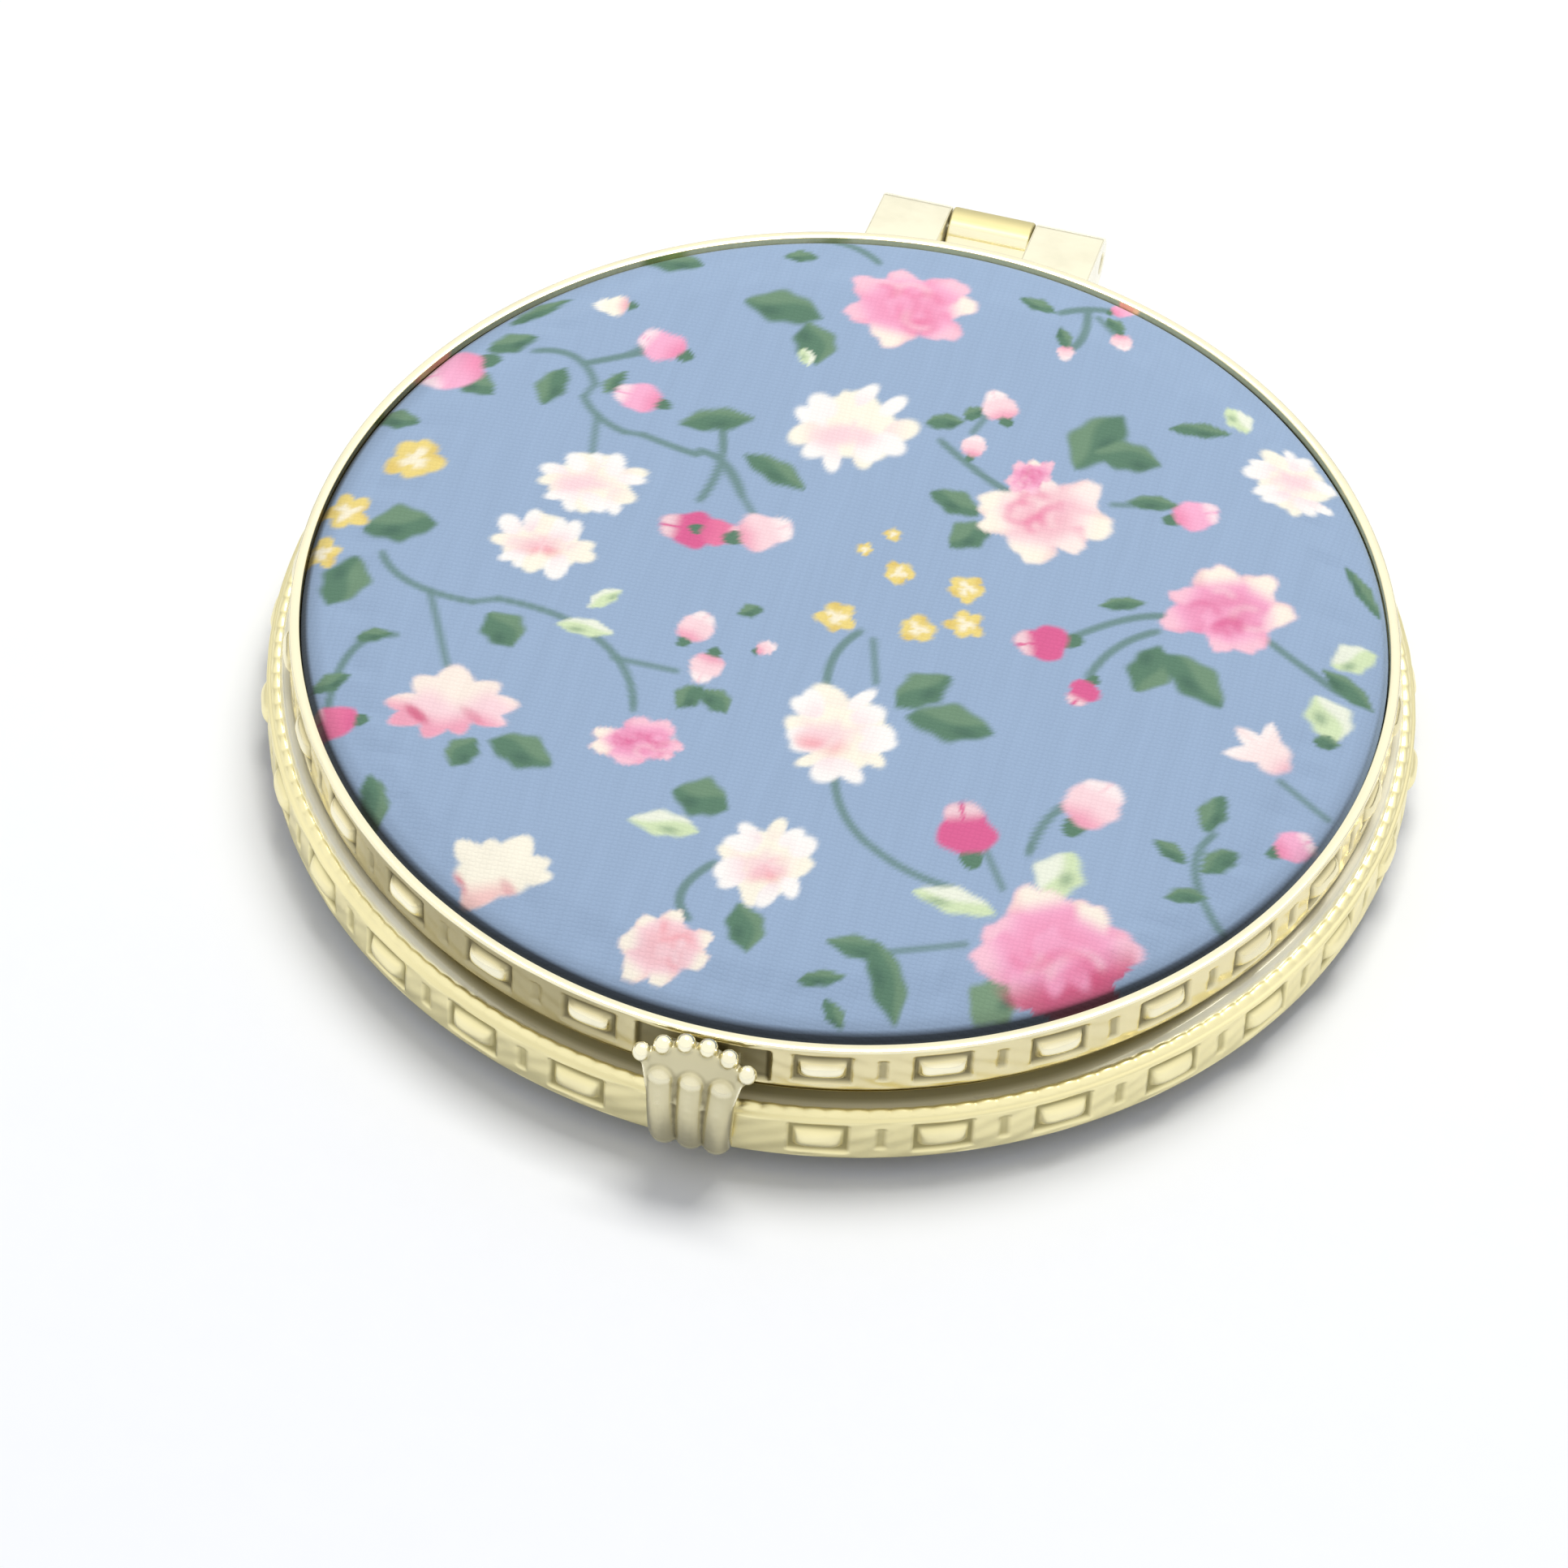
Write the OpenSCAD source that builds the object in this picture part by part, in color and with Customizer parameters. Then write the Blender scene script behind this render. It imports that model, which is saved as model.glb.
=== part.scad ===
// Round compact mirror. Two cloth-covered halves sit in embossed metal rims, a barrel
// hinge joins them at the back (+Y), and a shell-shaped clasp holds them shut at the
// front (-Y). The shut mirror lies on Z = 0 and the case's axis is the Z axis.

/* [Case] */
// Diameter of the base's rim
base_d = 71.2; // [69:0.1:76]
// How far the lid's rim stands back from the edge of the base's
rim_step = 1.4; // [1.2:0.05:1.6]
// Height of the base's rim
base_rim_h = 3.6; // [3.2:0.1:5]
// Height of the lid's rim
lid_rim_h = 3.5; // [2.8:0.1:4.5]
// Width of the bright lip around the lid's cloth
lip_w = 0.65; // [0.5:0.05:0.9]
// Wall of the lid's rim beside the mirror's bezel
rim_wall = 0.9; // [0.7:0.05:1.1]
// Rounding of the rims' outer edges
edge_round = 0.15; // [0.1:0.05:0.45]
// Depth of the well that the cloth-covered board sits in
well_depth = 1.3; // [1.1:0.05:1.5]
// Depth of the seat that the mirror is fixed in
seat_depth = 1.6; // [1.5:0.05:1.7]
// Width of the shelf between the well and the seat
shelf_w = 2.2; // [1.5:0.1:4]

/* [Embossed band] */
// Number of times that the long and the short figure repeat around a rim
repeats = 30; // [20:1:32]
// Length of a long boss
boss_l = 3.0; // [2:0.1:3.4]
// How far a boss stands beyond the rim
boss_rise = 0.4; // [0.1:0.05:0.5]
// Width of the groove around a boss
groove_w = 0.25; // [0.1:0.05:0.35]
// Depth of the grooves and slots
groove_depth = 0.25; // [0.1:0.05:0.35]
// Width of the short slot between two bosses
slot_w = 0.7; // [0.4:0.05:0.9]
// Height of the plain border above and below the figures
border_h = 0.6; // [0.35:0.05:0.7]
// Distance from the base's edge to the middle of the half-round bead on its ledge
bead_line_in = 0.6; // [0.5:0.05:0.8]
// Radius of that bead
bead_line_r = 0.3; // [0.15:0.05:0.4]

/* [Mirrors] */
// Thickness of a mirror's glass
glass_t = 1.0; // [0.8:0.05:1.2]
// Thickness of the silvering and its paint
silver_t = 0.1; // [0.05:0.01:0.15]
// Thickness of the adhesive tape
tape_t = 0.25; // [0.15:0.01:0.3]
// Thickness of the card behind a mirror
card_t = 0.3; // [0.2:0.01:0.35]
// Width of a bezel's wall beside the glass
bezel_wall = 2.15; // [1.5:0.05:3]
// How far a bezel covers the edge of the glass
bezel_cover = 0.6; // [0.3:0.05:1]
// How far a bezel stands proud of its rim
bezel_proud = 0.5; // [0.4:0.05:0.9]
// Gap between the two bezels when the case is shut
shut_gap = 0.1; // [0.05:0.01:0.3]
// Clearance of the bezels and of the glass in their seats
seat_fit = 0.05; // [0.02:0.01:0.1]

/* [Cloth pads] */
// Height of the base's crown beyond the rim's edge, before it is pressed flat
base_crown_h = 2; // [1.6:0.05:2.4]
// Height of the lid's crown beyond the rim's edge
lid_crown_h = 1.1; // [0.9:0.05:1.5]
// Depth to which the base's crown is pressed flat where it lies
foot_flat = 0.5; // [0.3:0.05:0.6]
// Thickness of the cloth
cloth_t = 0.3; // [0.2:0.02:0.4]
// Thickness of the stiff board
board_t = 0.8; // [0.6:0.05:0.9]
// Width of the hem that is glued under the board
hem_w = 3; // [2:0.5:8]
// Gap between the cloth and the wall of its well
cloth_gap = 0.1; // [0.05:0.01:0.2]
// How far below the lip the cloth starts to round over
shoulder_drop = 0.55; // [0.3:0.05:0.6]
// Gap between the board's edge and the cloth around it
board_ease = 0.35; // [0.3:0.05:0.6]

/* [Hinge] */
// Length of the whole hinge
hinge_l = 14.9; // [12:0.1:20]
// Length of the base's middle knuckle
mid_knuckle_l = 5.4; // [4:0.1:8]
// Gap between neighbouring knuckles
knuckle_gap = 0.1; // [0.05:0.01:0.2]
// Diameter of the knuckles
knuckle_d = 3.4; // [3:0.1:3.6]
// Diameter of the hinge pin
hinge_pin_d = 1.4; // [1:0.1:1.8]
// Gap between the base's rim and the knuckles
knuckle_stand = 1.8; // [1.7:0.05:3]
// Radial clearance of the hinge pin in the base's knuckle
hinge_fit = 0.05; // [0.02:0.01:0.1]
// How far the hinge's arms are rooted in the rims
arm_root = 0.5; // [0.3:0.05:0.7]
// How far the arms stay clear of the bezels' level
arm_clear = 0.3; // [0.1:0.05:0.5]
// Drop from the lid's lip to the top of its arms
lid_arm_drop = 0.8; // [0.6:0.05:1.1]
// Height of the base's arm where it leaves the rim
base_arm_h = 2.1; // [1.6:0.05:2.6]

/* [Clasp crown] */
// Number of beads on the clasp's crown
crown_beads = 6; // [5:1:7]
// Angle between neighbouring beads on the crown's arc
crown_step_angle = 14.4; // [12:0.2:16]
// Radius of the arc that the beads stand on
crown_arc_r = 5.4; // [5:0.1:6.5]
// Radius of a bead
clasp_bead_r = 0.6; // [0.45:0.05:0.65]
// Height of the crown's middle above the lid's lip
crown_rise = 0.5; // [0.4:0.05:0.8]
// Radius of the flutes that run up to the beads
flute_r = 0.4; // [0.3:0.02:0.44]
// Height of the flutes' root above the parting plane
flute_root_rise = 0.6; // [0.4:0.1:1.5]

/* [Clasp body] */
// Radius of the clasp's bow, seen from the side, on its inner face
bow_r = 8.6; // [8.4:0.1:9.5]
// Thickness of the clasp's shell
shell_t = 0.6; // [0.4:0.05:0.7]
// Largest gap between the clasp's shell and the base's rim
clasp_gap = 0.8; // [0.75:0.05:1.1]
// Radius of a petal
petal_r = 0.9; // [0.8:0.05:1]
// Distance between neighbouring petals
petal_pitch = 1.75; // [1.5:0.05:1.85]
// How far the petals' middle lies outside the shell's inner face
petal_rise = 0.15; // [0.1:0.01:0.25]

/* [Clasp mounting] */
// Diameter of the clasp's pin
clasp_pin_d = 0.7; // [0.5:0.05:0.8]
// Radius of the lugs and of the barrel around the clasp's pin
lug_r = 0.55; // [0.5:0.05:0.6]
// Distance from the lid's rim to the clasp's pin
pin_stand = 0.75; // [0.7:0.05:0.8]
// Height of the clasp's pin above the parting plane
pin_rise = 2.1; // [2:0.05:2.3]
// Length of the clasp's barrel
barrel_l = 2.7; // [2.4:0.1:2.8]
// Length of each lug on the lid
lug_l = 0.8; // [0.6:0.05:1]
// Radial clearance of the clasp's pin in its barrel
clasp_fit = 0.03; // [0.02:0.01:0.06]
// Thickness of the web from the barrel to the shell
web_t = 0.8; // [0.6:0.05:0.9]
// Width of the clear place for the clasp on both rims
clasp_place_w = 8; // [7.5:0.1:9]
// Depth of the recess behind the clasp in the lid's rim
recess_depth = 0.35; // [0.2:0.01:0.4]
// Height of the recess's foot above the lid's mirror side
recess_foot = 0.3; // [0.2:0.05:0.5]
// Height of the lip left above the recess
recess_lip = 0.5; // [0.4:0.05:0.6]

/* [Catch] */
// Radius of the half-round catch on the base's rim
catch_r = 0.4; // [0.3:0.05:0.5]
// Length of the catch
catch_l = 4.4; // [3.5:0.1:5]
// Depth of the catch's middle below the top of the base's rim
catch_drop = 0.75; // [0.7:0.05:0.9]
// Clearance between the clasp's hook and the catch
catch_clear = 0.07; // [0.05:0.01:0.12]
// Gap between the catch and the hook below it
hook_gap = 0.12; // [0.05:0.01:0.2]
// Width of the hook
hook_w = 3.2; // [2.4:0.1:3.6]
// Thickness of the hook
hook_t = 0.55; // [0.4:0.05:0.7]

/* [Hidden] */
$fn = 144;
// Facets around small rounds and balls
small_fn = 32;
// Overrun of every cut beyond the face that it opens
over = 1;
gold = "#d9cf9a";
gold_dark = "#c2b678";
cloth_blue = "#93a9cf";

// Shares of a length
bevel_share = 0.3;
nose_share = 0.9;
body_share = 0.85;
tip_share = 1.04;
flute_root_share = 0.35;

// Radii of the two rims and of what both halves share
base_r = base_d / 2;
lid_r = base_r - rim_step;
well_r = lid_r - lip_w;
seat_r = lid_r - rim_wall;
shelf_r = well_r - shelf_w;
bezel_r = seat_r - seat_fit;
glass_r = bezel_r - bezel_wall - seat_fit;

// Heights in the shut case: the base's crown, its rim, the parting plane, the lid's rim
base_low = base_crown_h - foot_flat;
base_top = base_low + base_rim_h;
part_z = base_top + bezel_proud + shut_gap / 2;
lid_low = part_z + shut_gap / 2 + bezel_proud;
lid_top = lid_low + lid_rim_h;

// Heights in one half, measured from the rim's mirror side towards its cloth side
card_low = seat_depth - card_t;
tape_low = card_low - tape_t;
silver_low = tape_low - silver_t;
glass_low = silver_low - glass_t;

// Cloth pad: the cover rounds over in a superellipse, fuller than an ellipse
cover_r = well_r - cloth_gap;
dome_power = 2.7;
dome_steps = 18;
board_r = cover_r - cloth_t - board_ease;

// Hinge: the pin lies in the parting plane
knuckle_r = knuckle_d / 2;
hinge_y = base_r + knuckle_stand + knuckle_r;

// Clasp: places are measured outwards from the case's axis and up from the table.
// The middle of its bow is level with the parting plane.
clasp_pin_out = lid_r + pin_stand;
clasp_pin_z = part_z + pin_rise;
bow_out = base_r + clasp_gap - bow_r;
bow_z = part_z;
bow_mid_r = bow_r + shell_t / 2;
petal_bow_r = bow_r + petal_rise;
petal_low_angle = -20;
petal_high_angle = 15;
petal_lean_angle = 3;
crown_z = lid_top + crown_rise;
crown_angles = [for (i = [0:crown_beads - 1]) (i - (crown_beads - 1) / 2) * crown_step_angle];
flute_root_z = part_z + flute_root_rise;
body_half = petal_pitch + petal_r * body_share;
catch_z = base_top - catch_drop;
hook_top = catch_z - catch_r - hook_gap;

// Points of a pad's crown from its middle, or from its pressed flat, out to its edge
function dome_points(r, h, flat_h, power, steps) =
    let (start = acos(pow(flat_h / h, power / 2)))
    [for (i = [0:steps])
        let (a = start + (90 - start) * i / steps)
        [r * pow(sin(a), 2 / power), h * pow(cos(a), 2 / power)]];

// Same points in reverse order
function reversed(points) = [for (i = [len(points) - 1:-1:0]) points[i]];

// Same points moved up
function raised(points, z) = [for (p = points) [p[0], p[1] + z]];

// Angle between two directions around the case, from 0 to 180 degrees
function apart(a, b) = abs((a - b + 540) % 360 - 180);

// Whether a figure of this half-length at this angle is clear of the hinge and the clasp
function clear_of(a, rim_r, half_l, hinge_half, clasp_half) =
    rim_r * sin(min(apart(a, 90), 90)) > hinge_half + half_l
    && rim_r * sin(min(apart(a, -90), 90)) > clasp_half + half_l;

// Distance out from the case's axis of the clasp's bow, at one height and bow radius
function bow_at(z, r) = bow_out + sqrt(pow(r, 2) - pow(z - bow_z, 2));

// Rim of one half as a ring: outer wall, well for the cloth, shelf, seat for the mirror
module rim_ring(rim_r, rim_h) {
    arc = [for (a = [0:15:90]) [rim_r - edge_round + edge_round * cos(a),
                                rim_h - edge_round + edge_round * sin(a)]];
    rotate_extrude()
        polygon(concat(
            [[seat_r, 0], [rim_r - edge_round / 2, 0], [rim_r, edge_round / 2]],
            arc,
            [[well_r, rim_h], [well_r, rim_h - well_depth], [shelf_r, rim_h - well_depth],
             [shelf_r, seat_depth], [seat_r, seat_depth]]));
}

// One pillow-shaped boss on a rim of this radius, at local +X
module boss(rim_r, low, tall) {
    lift = boss_rise + groove_depth;
    long_r = (pow(boss_l / 2, 2) + pow(lift, 2)) / (2 * lift);
    tall_r = (pow(tall / 2, 2) + pow(boss_rise, 2)) / (2 * boss_rise);
    intersection() {
        translate([rim_r - groove_depth * 2, -boss_l / 2, low])
            cube([groove_depth * 2 + boss_rise + over, boss_l, tall]);
        translate([rim_r + boss_rise - long_r, 0, low - over])
            cylinder(r = long_r, h = tall + 2 * over);
        translate([rim_r + boss_rise - tall_r, boss_l, low + tall / 2])
            rotate([90, 0, 0]) cylinder(r = tall_r, h = boss_l * 2);
    }
}

// Embossed ring of one half: long bosses in grooves, with a short slot between them
module embossed_ring(rim_r, rim_h, hinge_half, clasp_half) {
    step = 360 / repeats;
    field_low = border_h;
    field_h = rim_h - 2 * border_h;
    tall = field_h - 2 * groove_w;
    pocket_l = boss_l + 2 * groove_w;
    difference() {
        rim_ring(rim_r, rim_h);
        for (i = [0:repeats - 1]) {
            a = i * step - 90;
            if (clear_of(a, rim_r, pocket_l / 2, hinge_half, clasp_half))
                rotate([0, 0, a])
                    translate([rim_r - groove_depth, -pocket_l / 2, field_low])
                        cube([groove_depth + over, pocket_l, field_h]);
            if (clear_of(a + step / 2, rim_r, slot_w / 2, hinge_half, clasp_half))
                rotate([0, 0, a + step / 2])
                    translate([rim_r - groove_depth, -slot_w / 2, field_low + groove_w])
                        cube([groove_depth + over, slot_w, tall]);
        }
    }
    for (i = [0:repeats - 1]) {
        a = i * step - 90;
        if (clear_of(a, rim_r, pocket_l / 2, hinge_half, clasp_half))
            rotate([0, 0, a]) boss(rim_r, field_low + groove_w, tall);
    }
}

// Moves one half from its own frame into the shut case
module in_lid() { translate([0, 0, lid_low]) children(); }
module in_base() { translate([0, 0, base_top]) mirror([0, 0, 1]) children(); }

// Round bar along X, centred on x = 0
module bar(r, l) { translate([-l / 2, 0, 0]) rotate([0, 90, 0]) cylinder(r = r, h = l); }

// Hinge knuckle with its arm: the arm runs from the rim, tangent to the barrel.
// side is 1 for the lid's arms and -1 for the base's.
module knuckle(l, rim_y, rim_z, side) {
    reach = norm([hinge_y - rim_y, rim_z - part_z]);
    touch = atan2(rim_z - part_z, rim_y - hinge_y) - side * acos(knuckle_r / reach);
    translate([0, hinge_y, part_z]) bar(knuckle_r, l);
    translate([l / 2, 0, 0]) rotate([90, 0, -90])
        linear_extrude(height = l)
            polygon([[-rim_y, rim_z], [-rim_y, part_z + side * (bezel_proud + arm_clear)],
                     [-hinge_y + knuckle_r * nose_share, part_z - side * arm_clear],
                     [-hinge_y, part_z],
                     [-hinge_y - knuckle_r * cos(touch), part_z + knuckle_r * sin(touch)]]);
}

// Board, foam and cloth of one half. press is how far its crown is pressed flat.
module board(rim_h) {
    translate([0, 0, rim_h - well_depth + cloth_t]) cylinder(r = board_r, h = board_t);
}

module pad(rim_h, crown_h, press) {
    shoulder = rim_h - shoulder_drop;
    top = dome_points(cover_r - cloth_t, crown_h + shoulder_drop - cloth_t,
                      crown_h + shoulder_drop - cloth_t - press, dome_power, dome_steps);
    board_top = rim_h - well_depth + cloth_t + board_t;
    intersection() {
        rotate_extrude() polygon(concat([[0, shoulder]],
            top[0][0] > 0 ? [[0, shoulder + top[0][1]]] : [], raised(top, shoulder)));
        translate([0, 0, board_top]) cylinder(r = cover_r, h = crown_h + well_depth);
    }
}

module cover(rim_h, crown_h, press) {
    shoulder = rim_h - shoulder_drop;
    full = crown_h + shoulder_drop;
    low = rim_h - well_depth;
    outside = raised(dome_points(cover_r, full, full - press, dome_power, dome_steps), shoulder);
    inside = raised(dome_points(cover_r - cloth_t, full - cloth_t, full - cloth_t - press,
                                dome_power, dome_steps), shoulder);
    rotate_extrude()
        polygon(concat(
            outside[0][0] > 0 ? [[0, outside[0][1]]] : [], outside,
            [[cover_r, low], [cover_r - hem_w, low], [cover_r - hem_w, low + cloth_t],
             [cover_r - cloth_t, low + cloth_t]],
            reversed(inside),
            inside[0][0] > 0 ? [[0, inside[0][1]]] : []));
}

// Mirror of one half: card, tape, silvering and glass in a bezel pressed into the rim
module backing_card() { translate([0, 0, card_low]) cylinder(r = bezel_r, h = card_t); }
module mirror_tape() { translate([0, 0, tape_low]) cylinder(r = glass_r - bezel_wall, h = tape_t); }
module mirror_silvering() { translate([0, 0, silver_low]) cylinder(r = glass_r, h = silver_t); }
module mirror_glass() { translate([0, 0, glass_low]) cylinder(r = glass_r, h = glass_t); }

module bezel() {
    wall_in = bezel_r - bezel_wall;
    rotate_extrude()
        polygon([[wall_in, card_low], [bezel_r, card_low], [bezel_r, 0],
                 [bezel_r - bezel_proud * bevel_share, -bezel_proud * (1 - bevel_share)],
                 [bezel_r - bezel_proud, -bezel_proud],
                 [glass_r - bezel_cover + seat_fit, -bezel_proud],
                 [glass_r - bezel_cover, -bezel_proud + seat_fit],
                 [glass_r - bezel_cover, glass_low - seat_fit], [wall_in, glass_low - seat_fit]]);
}

module base_rim() {
    color(gold_dark) difference() {
        union() {
            in_base() embossed_ring(base_r, base_rim_h, mid_knuckle_l / 2, clasp_place_w / 2);
            in_base() rotate_extrude()
                translate([base_r - bead_line_in, 0]) circle(r = bead_line_r, $fn = small_fn);
            knuckle(mid_knuckle_l, base_r - arm_root, base_top - base_arm_h, -1);
            translate([0, -base_r, catch_z]) bar(catch_r, catch_l);
        }
        // The seat and the well stay open behind the bead line, the arm and the catch
        in_base() translate([0, 0, -over]) cylinder(r = seat_r, h = seat_depth + over);
        translate([0, 0, base_low - over]) cylinder(r = well_r, h = well_depth + over);
        translate([0, hinge_y, part_z])
            bar(hinge_pin_d / 2 + hinge_fit, mid_knuckle_l + 2 * over);
    }
}

// The place behind the clasp in the lid's rim: a shallow recess under the lip
module clasp_recess() {
    difference() {
        translate([-clasp_place_w / 2, -lid_r - over, lid_low + recess_foot])
            cube([clasp_place_w, lid_r, lid_rim_h - recess_foot - recess_lip]);
        translate([0, 0, lid_low]) cylinder(r = lid_r - recess_depth, h = lid_rim_h);
    }
}

module lid_rim() {
    side_l = (hinge_l - mid_knuckle_l) / 2 - knuckle_gap;
    lug_x = barrel_l / 2 + knuckle_gap + lug_l / 2;
    color(gold) difference() {
        union() {
            difference() {
                in_lid() embossed_ring(lid_r, lid_rim_h, hinge_l / 2, clasp_place_w / 2);
                clasp_recess();
            }
            for (s = [-1, 1]) {
                translate([s * (hinge_l - side_l) / 2, 0, 0])
                    knuckle(side_l, lid_r - arm_root, lid_top - lid_arm_drop, 1);
                translate([s * lug_x, -clasp_pin_out, clasp_pin_z]) bar(lug_r, lug_l);
                translate([s * lug_x - lug_l / 2, -clasp_pin_out, clasp_pin_z - lug_r])
                    cube([lug_l, clasp_pin_out - bezel_r, 2 * lug_r]);
            }
        }
        // The seat and the well stay open behind the arms and the lugs
        in_lid() translate([0, 0, -over]) cylinder(r = seat_r, h = seat_depth + over);
        translate([0, 0, lid_top - well_depth]) cylinder(r = well_r, h = well_depth + over);
        translate([0, hinge_y, part_z]) bar(hinge_pin_d / 2, hinge_l + 2 * over);
        translate([0, -clasp_pin_out, clasp_pin_z]) bar(clasp_pin_d / 2, clasp_place_w);
    }
}

module base_board() { color("tan") in_base() board(base_rim_h); }
module base_pad() { color("ivory") in_base() pad(base_rim_h, base_crown_h, foot_flat); }
module base_cover() { color(cloth_blue) in_base() cover(base_rim_h, base_crown_h, foot_flat); }
module base_backing_card() { color("gray") in_base() backing_card(); }
module base_mirror_tape() { color("white") in_base() mirror_tape(); }
module base_mirror_silvering() { color("silver") in_base() mirror_silvering(); }
module base_mirror_glass() { color("lightcyan") in_base() mirror_glass(); }
module base_bezel() { color(gold) in_base() bezel(); }

module lid_board() { color("tan") in_lid() board(lid_rim_h); }
module lid_pad() { color("ivory") in_lid() pad(lid_rim_h, lid_crown_h, 0); }
module lid_cover() { color(cloth_blue) in_lid() cover(lid_rim_h, lid_crown_h, 0); }
module lid_backing_card() { color("gray") in_lid() backing_card(); }
module lid_mirror_tape() { color("white") in_lid() mirror_tape(); }
module lid_mirror_silvering() { color("silver") in_lid() mirror_silvering(); }
module lid_mirror_glass() { color("lightcyan") in_lid() mirror_glass(); }
module lid_bezel() { color(gold) in_lid() bezel(); }

module hinge_pin() {
    color(gold_dark) translate([0, hinge_y, part_z]) bar(hinge_pin_d / 2, hinge_l - 2 * knuckle_gap);
}

// Places the clasp's bow: children turn about the bow's own axis, which lies along X
module at_bow() { translate([0, -bow_out, bow_z]) children(); }

// One petal: a round rib that follows the bow, with a slightly larger ball at each end
module petal(x, lean) {
    at_bow() translate([x, 0, 0]) rotate([0, lean, 0]) {
        mirror([0, 1, 0]) rotate([0, 90, 0]) rotate([0, 0, 90 + petal_low_angle])
            rotate_extrude(angle = petal_high_angle - petal_low_angle)
                translate([petal_bow_r, 0]) circle(r = petal_r, $fn = small_fn);
        for (a = [petal_low_angle, petal_high_angle])
            translate([0, -petal_bow_r * cos(a), petal_bow_r * sin(a)])
                rotate([a, 0, 0]) sphere(r = petal_r * tip_share, $fn = small_fn);
    }
}

// Round rod from one point to another
module rod(from, to, r) {
    way = to - from;
    translate(from) rotate([0, acos(way[2] / norm(way)), atan2(way[1], way[0])])
        cylinder(r = r, h = norm(way), $fn = small_fn);
}

// Place of a bead on the crown's arc, on the middle of the shell
function bead_at(a) =
    let (z = crown_z - crown_arc_r * (1 - cos(a)))
    [crown_arc_r * sin(a), -bow_at(z, bow_mid_r), z];

// Flat outline of the shell in X and Z
module shell_outline() {
    beads = [for (a = crown_angles) bead_at(a)];
    polygon(concat([for (b = beads) [b[0], b[2]]],
                   [[body_half, flute_root_z], [body_half, bow_z + petal_bow_r * sin(petal_low_angle)],
                    [-body_half, bow_z + petal_bow_r * sin(petal_low_angle)], [-body_half, flute_root_z]]));
}

module clasp_shell() {
    color(gold) difference() {
        union() {
            // The shell is the outline cut from a tube that lies along X
            intersection() {
                at_bow() bar(bow_r + shell_t, clasp_place_w);
                translate([0, -bow_out, 0]) rotate([90, 0, 0])
                    linear_extrude(height = 2 * bow_r) shell_outline();
            }
            for (i = [-1:1]) petal(i * petal_pitch, i * petal_lean_angle);
            for (a = crown_angles) {
                b = bead_at(a);
                translate(b) sphere(r = clasp_bead_r, $fn = small_fn);
                rod([b[0] * flute_root_share, -bow_at(flute_root_z, bow_mid_r), flute_root_z], b, flute_r);
            }
        }
        at_bow() bar(bow_r, 2 * clasp_place_w);
    }
    // The barrel, its web and the hook stand on the shell's back
    color(gold) difference() {
        union() {
            translate([0, -clasp_pin_out, clasp_pin_z]) bar(lug_r, barrel_l);
            intersection() {
                at_bow() bar(bow_mid_r, clasp_place_w);
                union() {
                    translate([-barrel_l / 2, -clasp_pin_out - bow_r, clasp_pin_z - web_t / 2])
                        cube([barrel_l, bow_r, web_t]);
                    translate([-hook_w / 2, -base_r - catch_r - catch_clear - bow_r, hook_top - hook_t])
                        cube([hook_w, bow_r, hook_t]);
                }
            }
        }
        translate([0, -clasp_pin_out, clasp_pin_z])
            bar(clasp_pin_d / 2 + clasp_fit, barrel_l + 2 * over);
    }
}

module clasp_pin() {
    color(gold_dark) translate([0, -clasp_pin_out, clasp_pin_z])
        bar(clasp_pin_d / 2, barrel_l + 2 * (knuckle_gap + lug_l));
}

base_rim();
base_board();
base_pad();
base_cover();
base_backing_card();
base_mirror_tape();
base_mirror_silvering();
base_mirror_glass();
base_bezel();
lid_rim();
lid_board();
lid_pad();
lid_cover();
lid_backing_card();
lid_mirror_tape();
lid_mirror_silvering();
lid_mirror_glass();
lid_bezel();
hinge_pin();
clasp_shell();
clasp_pin();
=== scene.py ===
# %% [markdown]
# A round compact mirror lies shut on a pale table. Two padded discs of printed cotton sit in
# cast rims of thin gold plating, a barrel hinge joins them behind and a small shell-shaped
# clasp holds them in front. The exact parts come from the CAD model as a fixed frame. This
# scene dresses them: soft forms are made anew, metal gets its wear, cloth its print.

# %% Set up
import math

import bpy
import bmesh
import numpy as np
from mathutils import Matrix, Vector


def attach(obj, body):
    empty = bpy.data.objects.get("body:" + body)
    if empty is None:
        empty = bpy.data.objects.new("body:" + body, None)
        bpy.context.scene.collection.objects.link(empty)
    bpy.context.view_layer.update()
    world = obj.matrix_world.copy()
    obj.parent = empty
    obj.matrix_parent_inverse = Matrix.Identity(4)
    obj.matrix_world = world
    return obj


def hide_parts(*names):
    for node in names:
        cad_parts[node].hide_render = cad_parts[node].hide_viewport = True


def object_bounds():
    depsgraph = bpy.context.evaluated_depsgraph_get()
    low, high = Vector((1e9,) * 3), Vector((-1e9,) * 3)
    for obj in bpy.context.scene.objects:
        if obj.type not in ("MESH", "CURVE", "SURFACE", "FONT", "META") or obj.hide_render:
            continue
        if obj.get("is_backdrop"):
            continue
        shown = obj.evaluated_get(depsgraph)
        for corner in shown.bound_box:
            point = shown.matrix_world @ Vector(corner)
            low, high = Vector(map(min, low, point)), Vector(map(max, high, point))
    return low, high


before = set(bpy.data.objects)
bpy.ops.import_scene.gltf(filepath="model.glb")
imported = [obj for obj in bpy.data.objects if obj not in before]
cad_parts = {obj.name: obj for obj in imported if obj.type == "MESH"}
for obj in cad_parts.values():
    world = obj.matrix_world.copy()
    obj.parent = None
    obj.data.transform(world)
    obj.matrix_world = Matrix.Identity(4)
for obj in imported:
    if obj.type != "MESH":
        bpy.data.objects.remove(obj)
scene = bpy.context.scene
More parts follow.
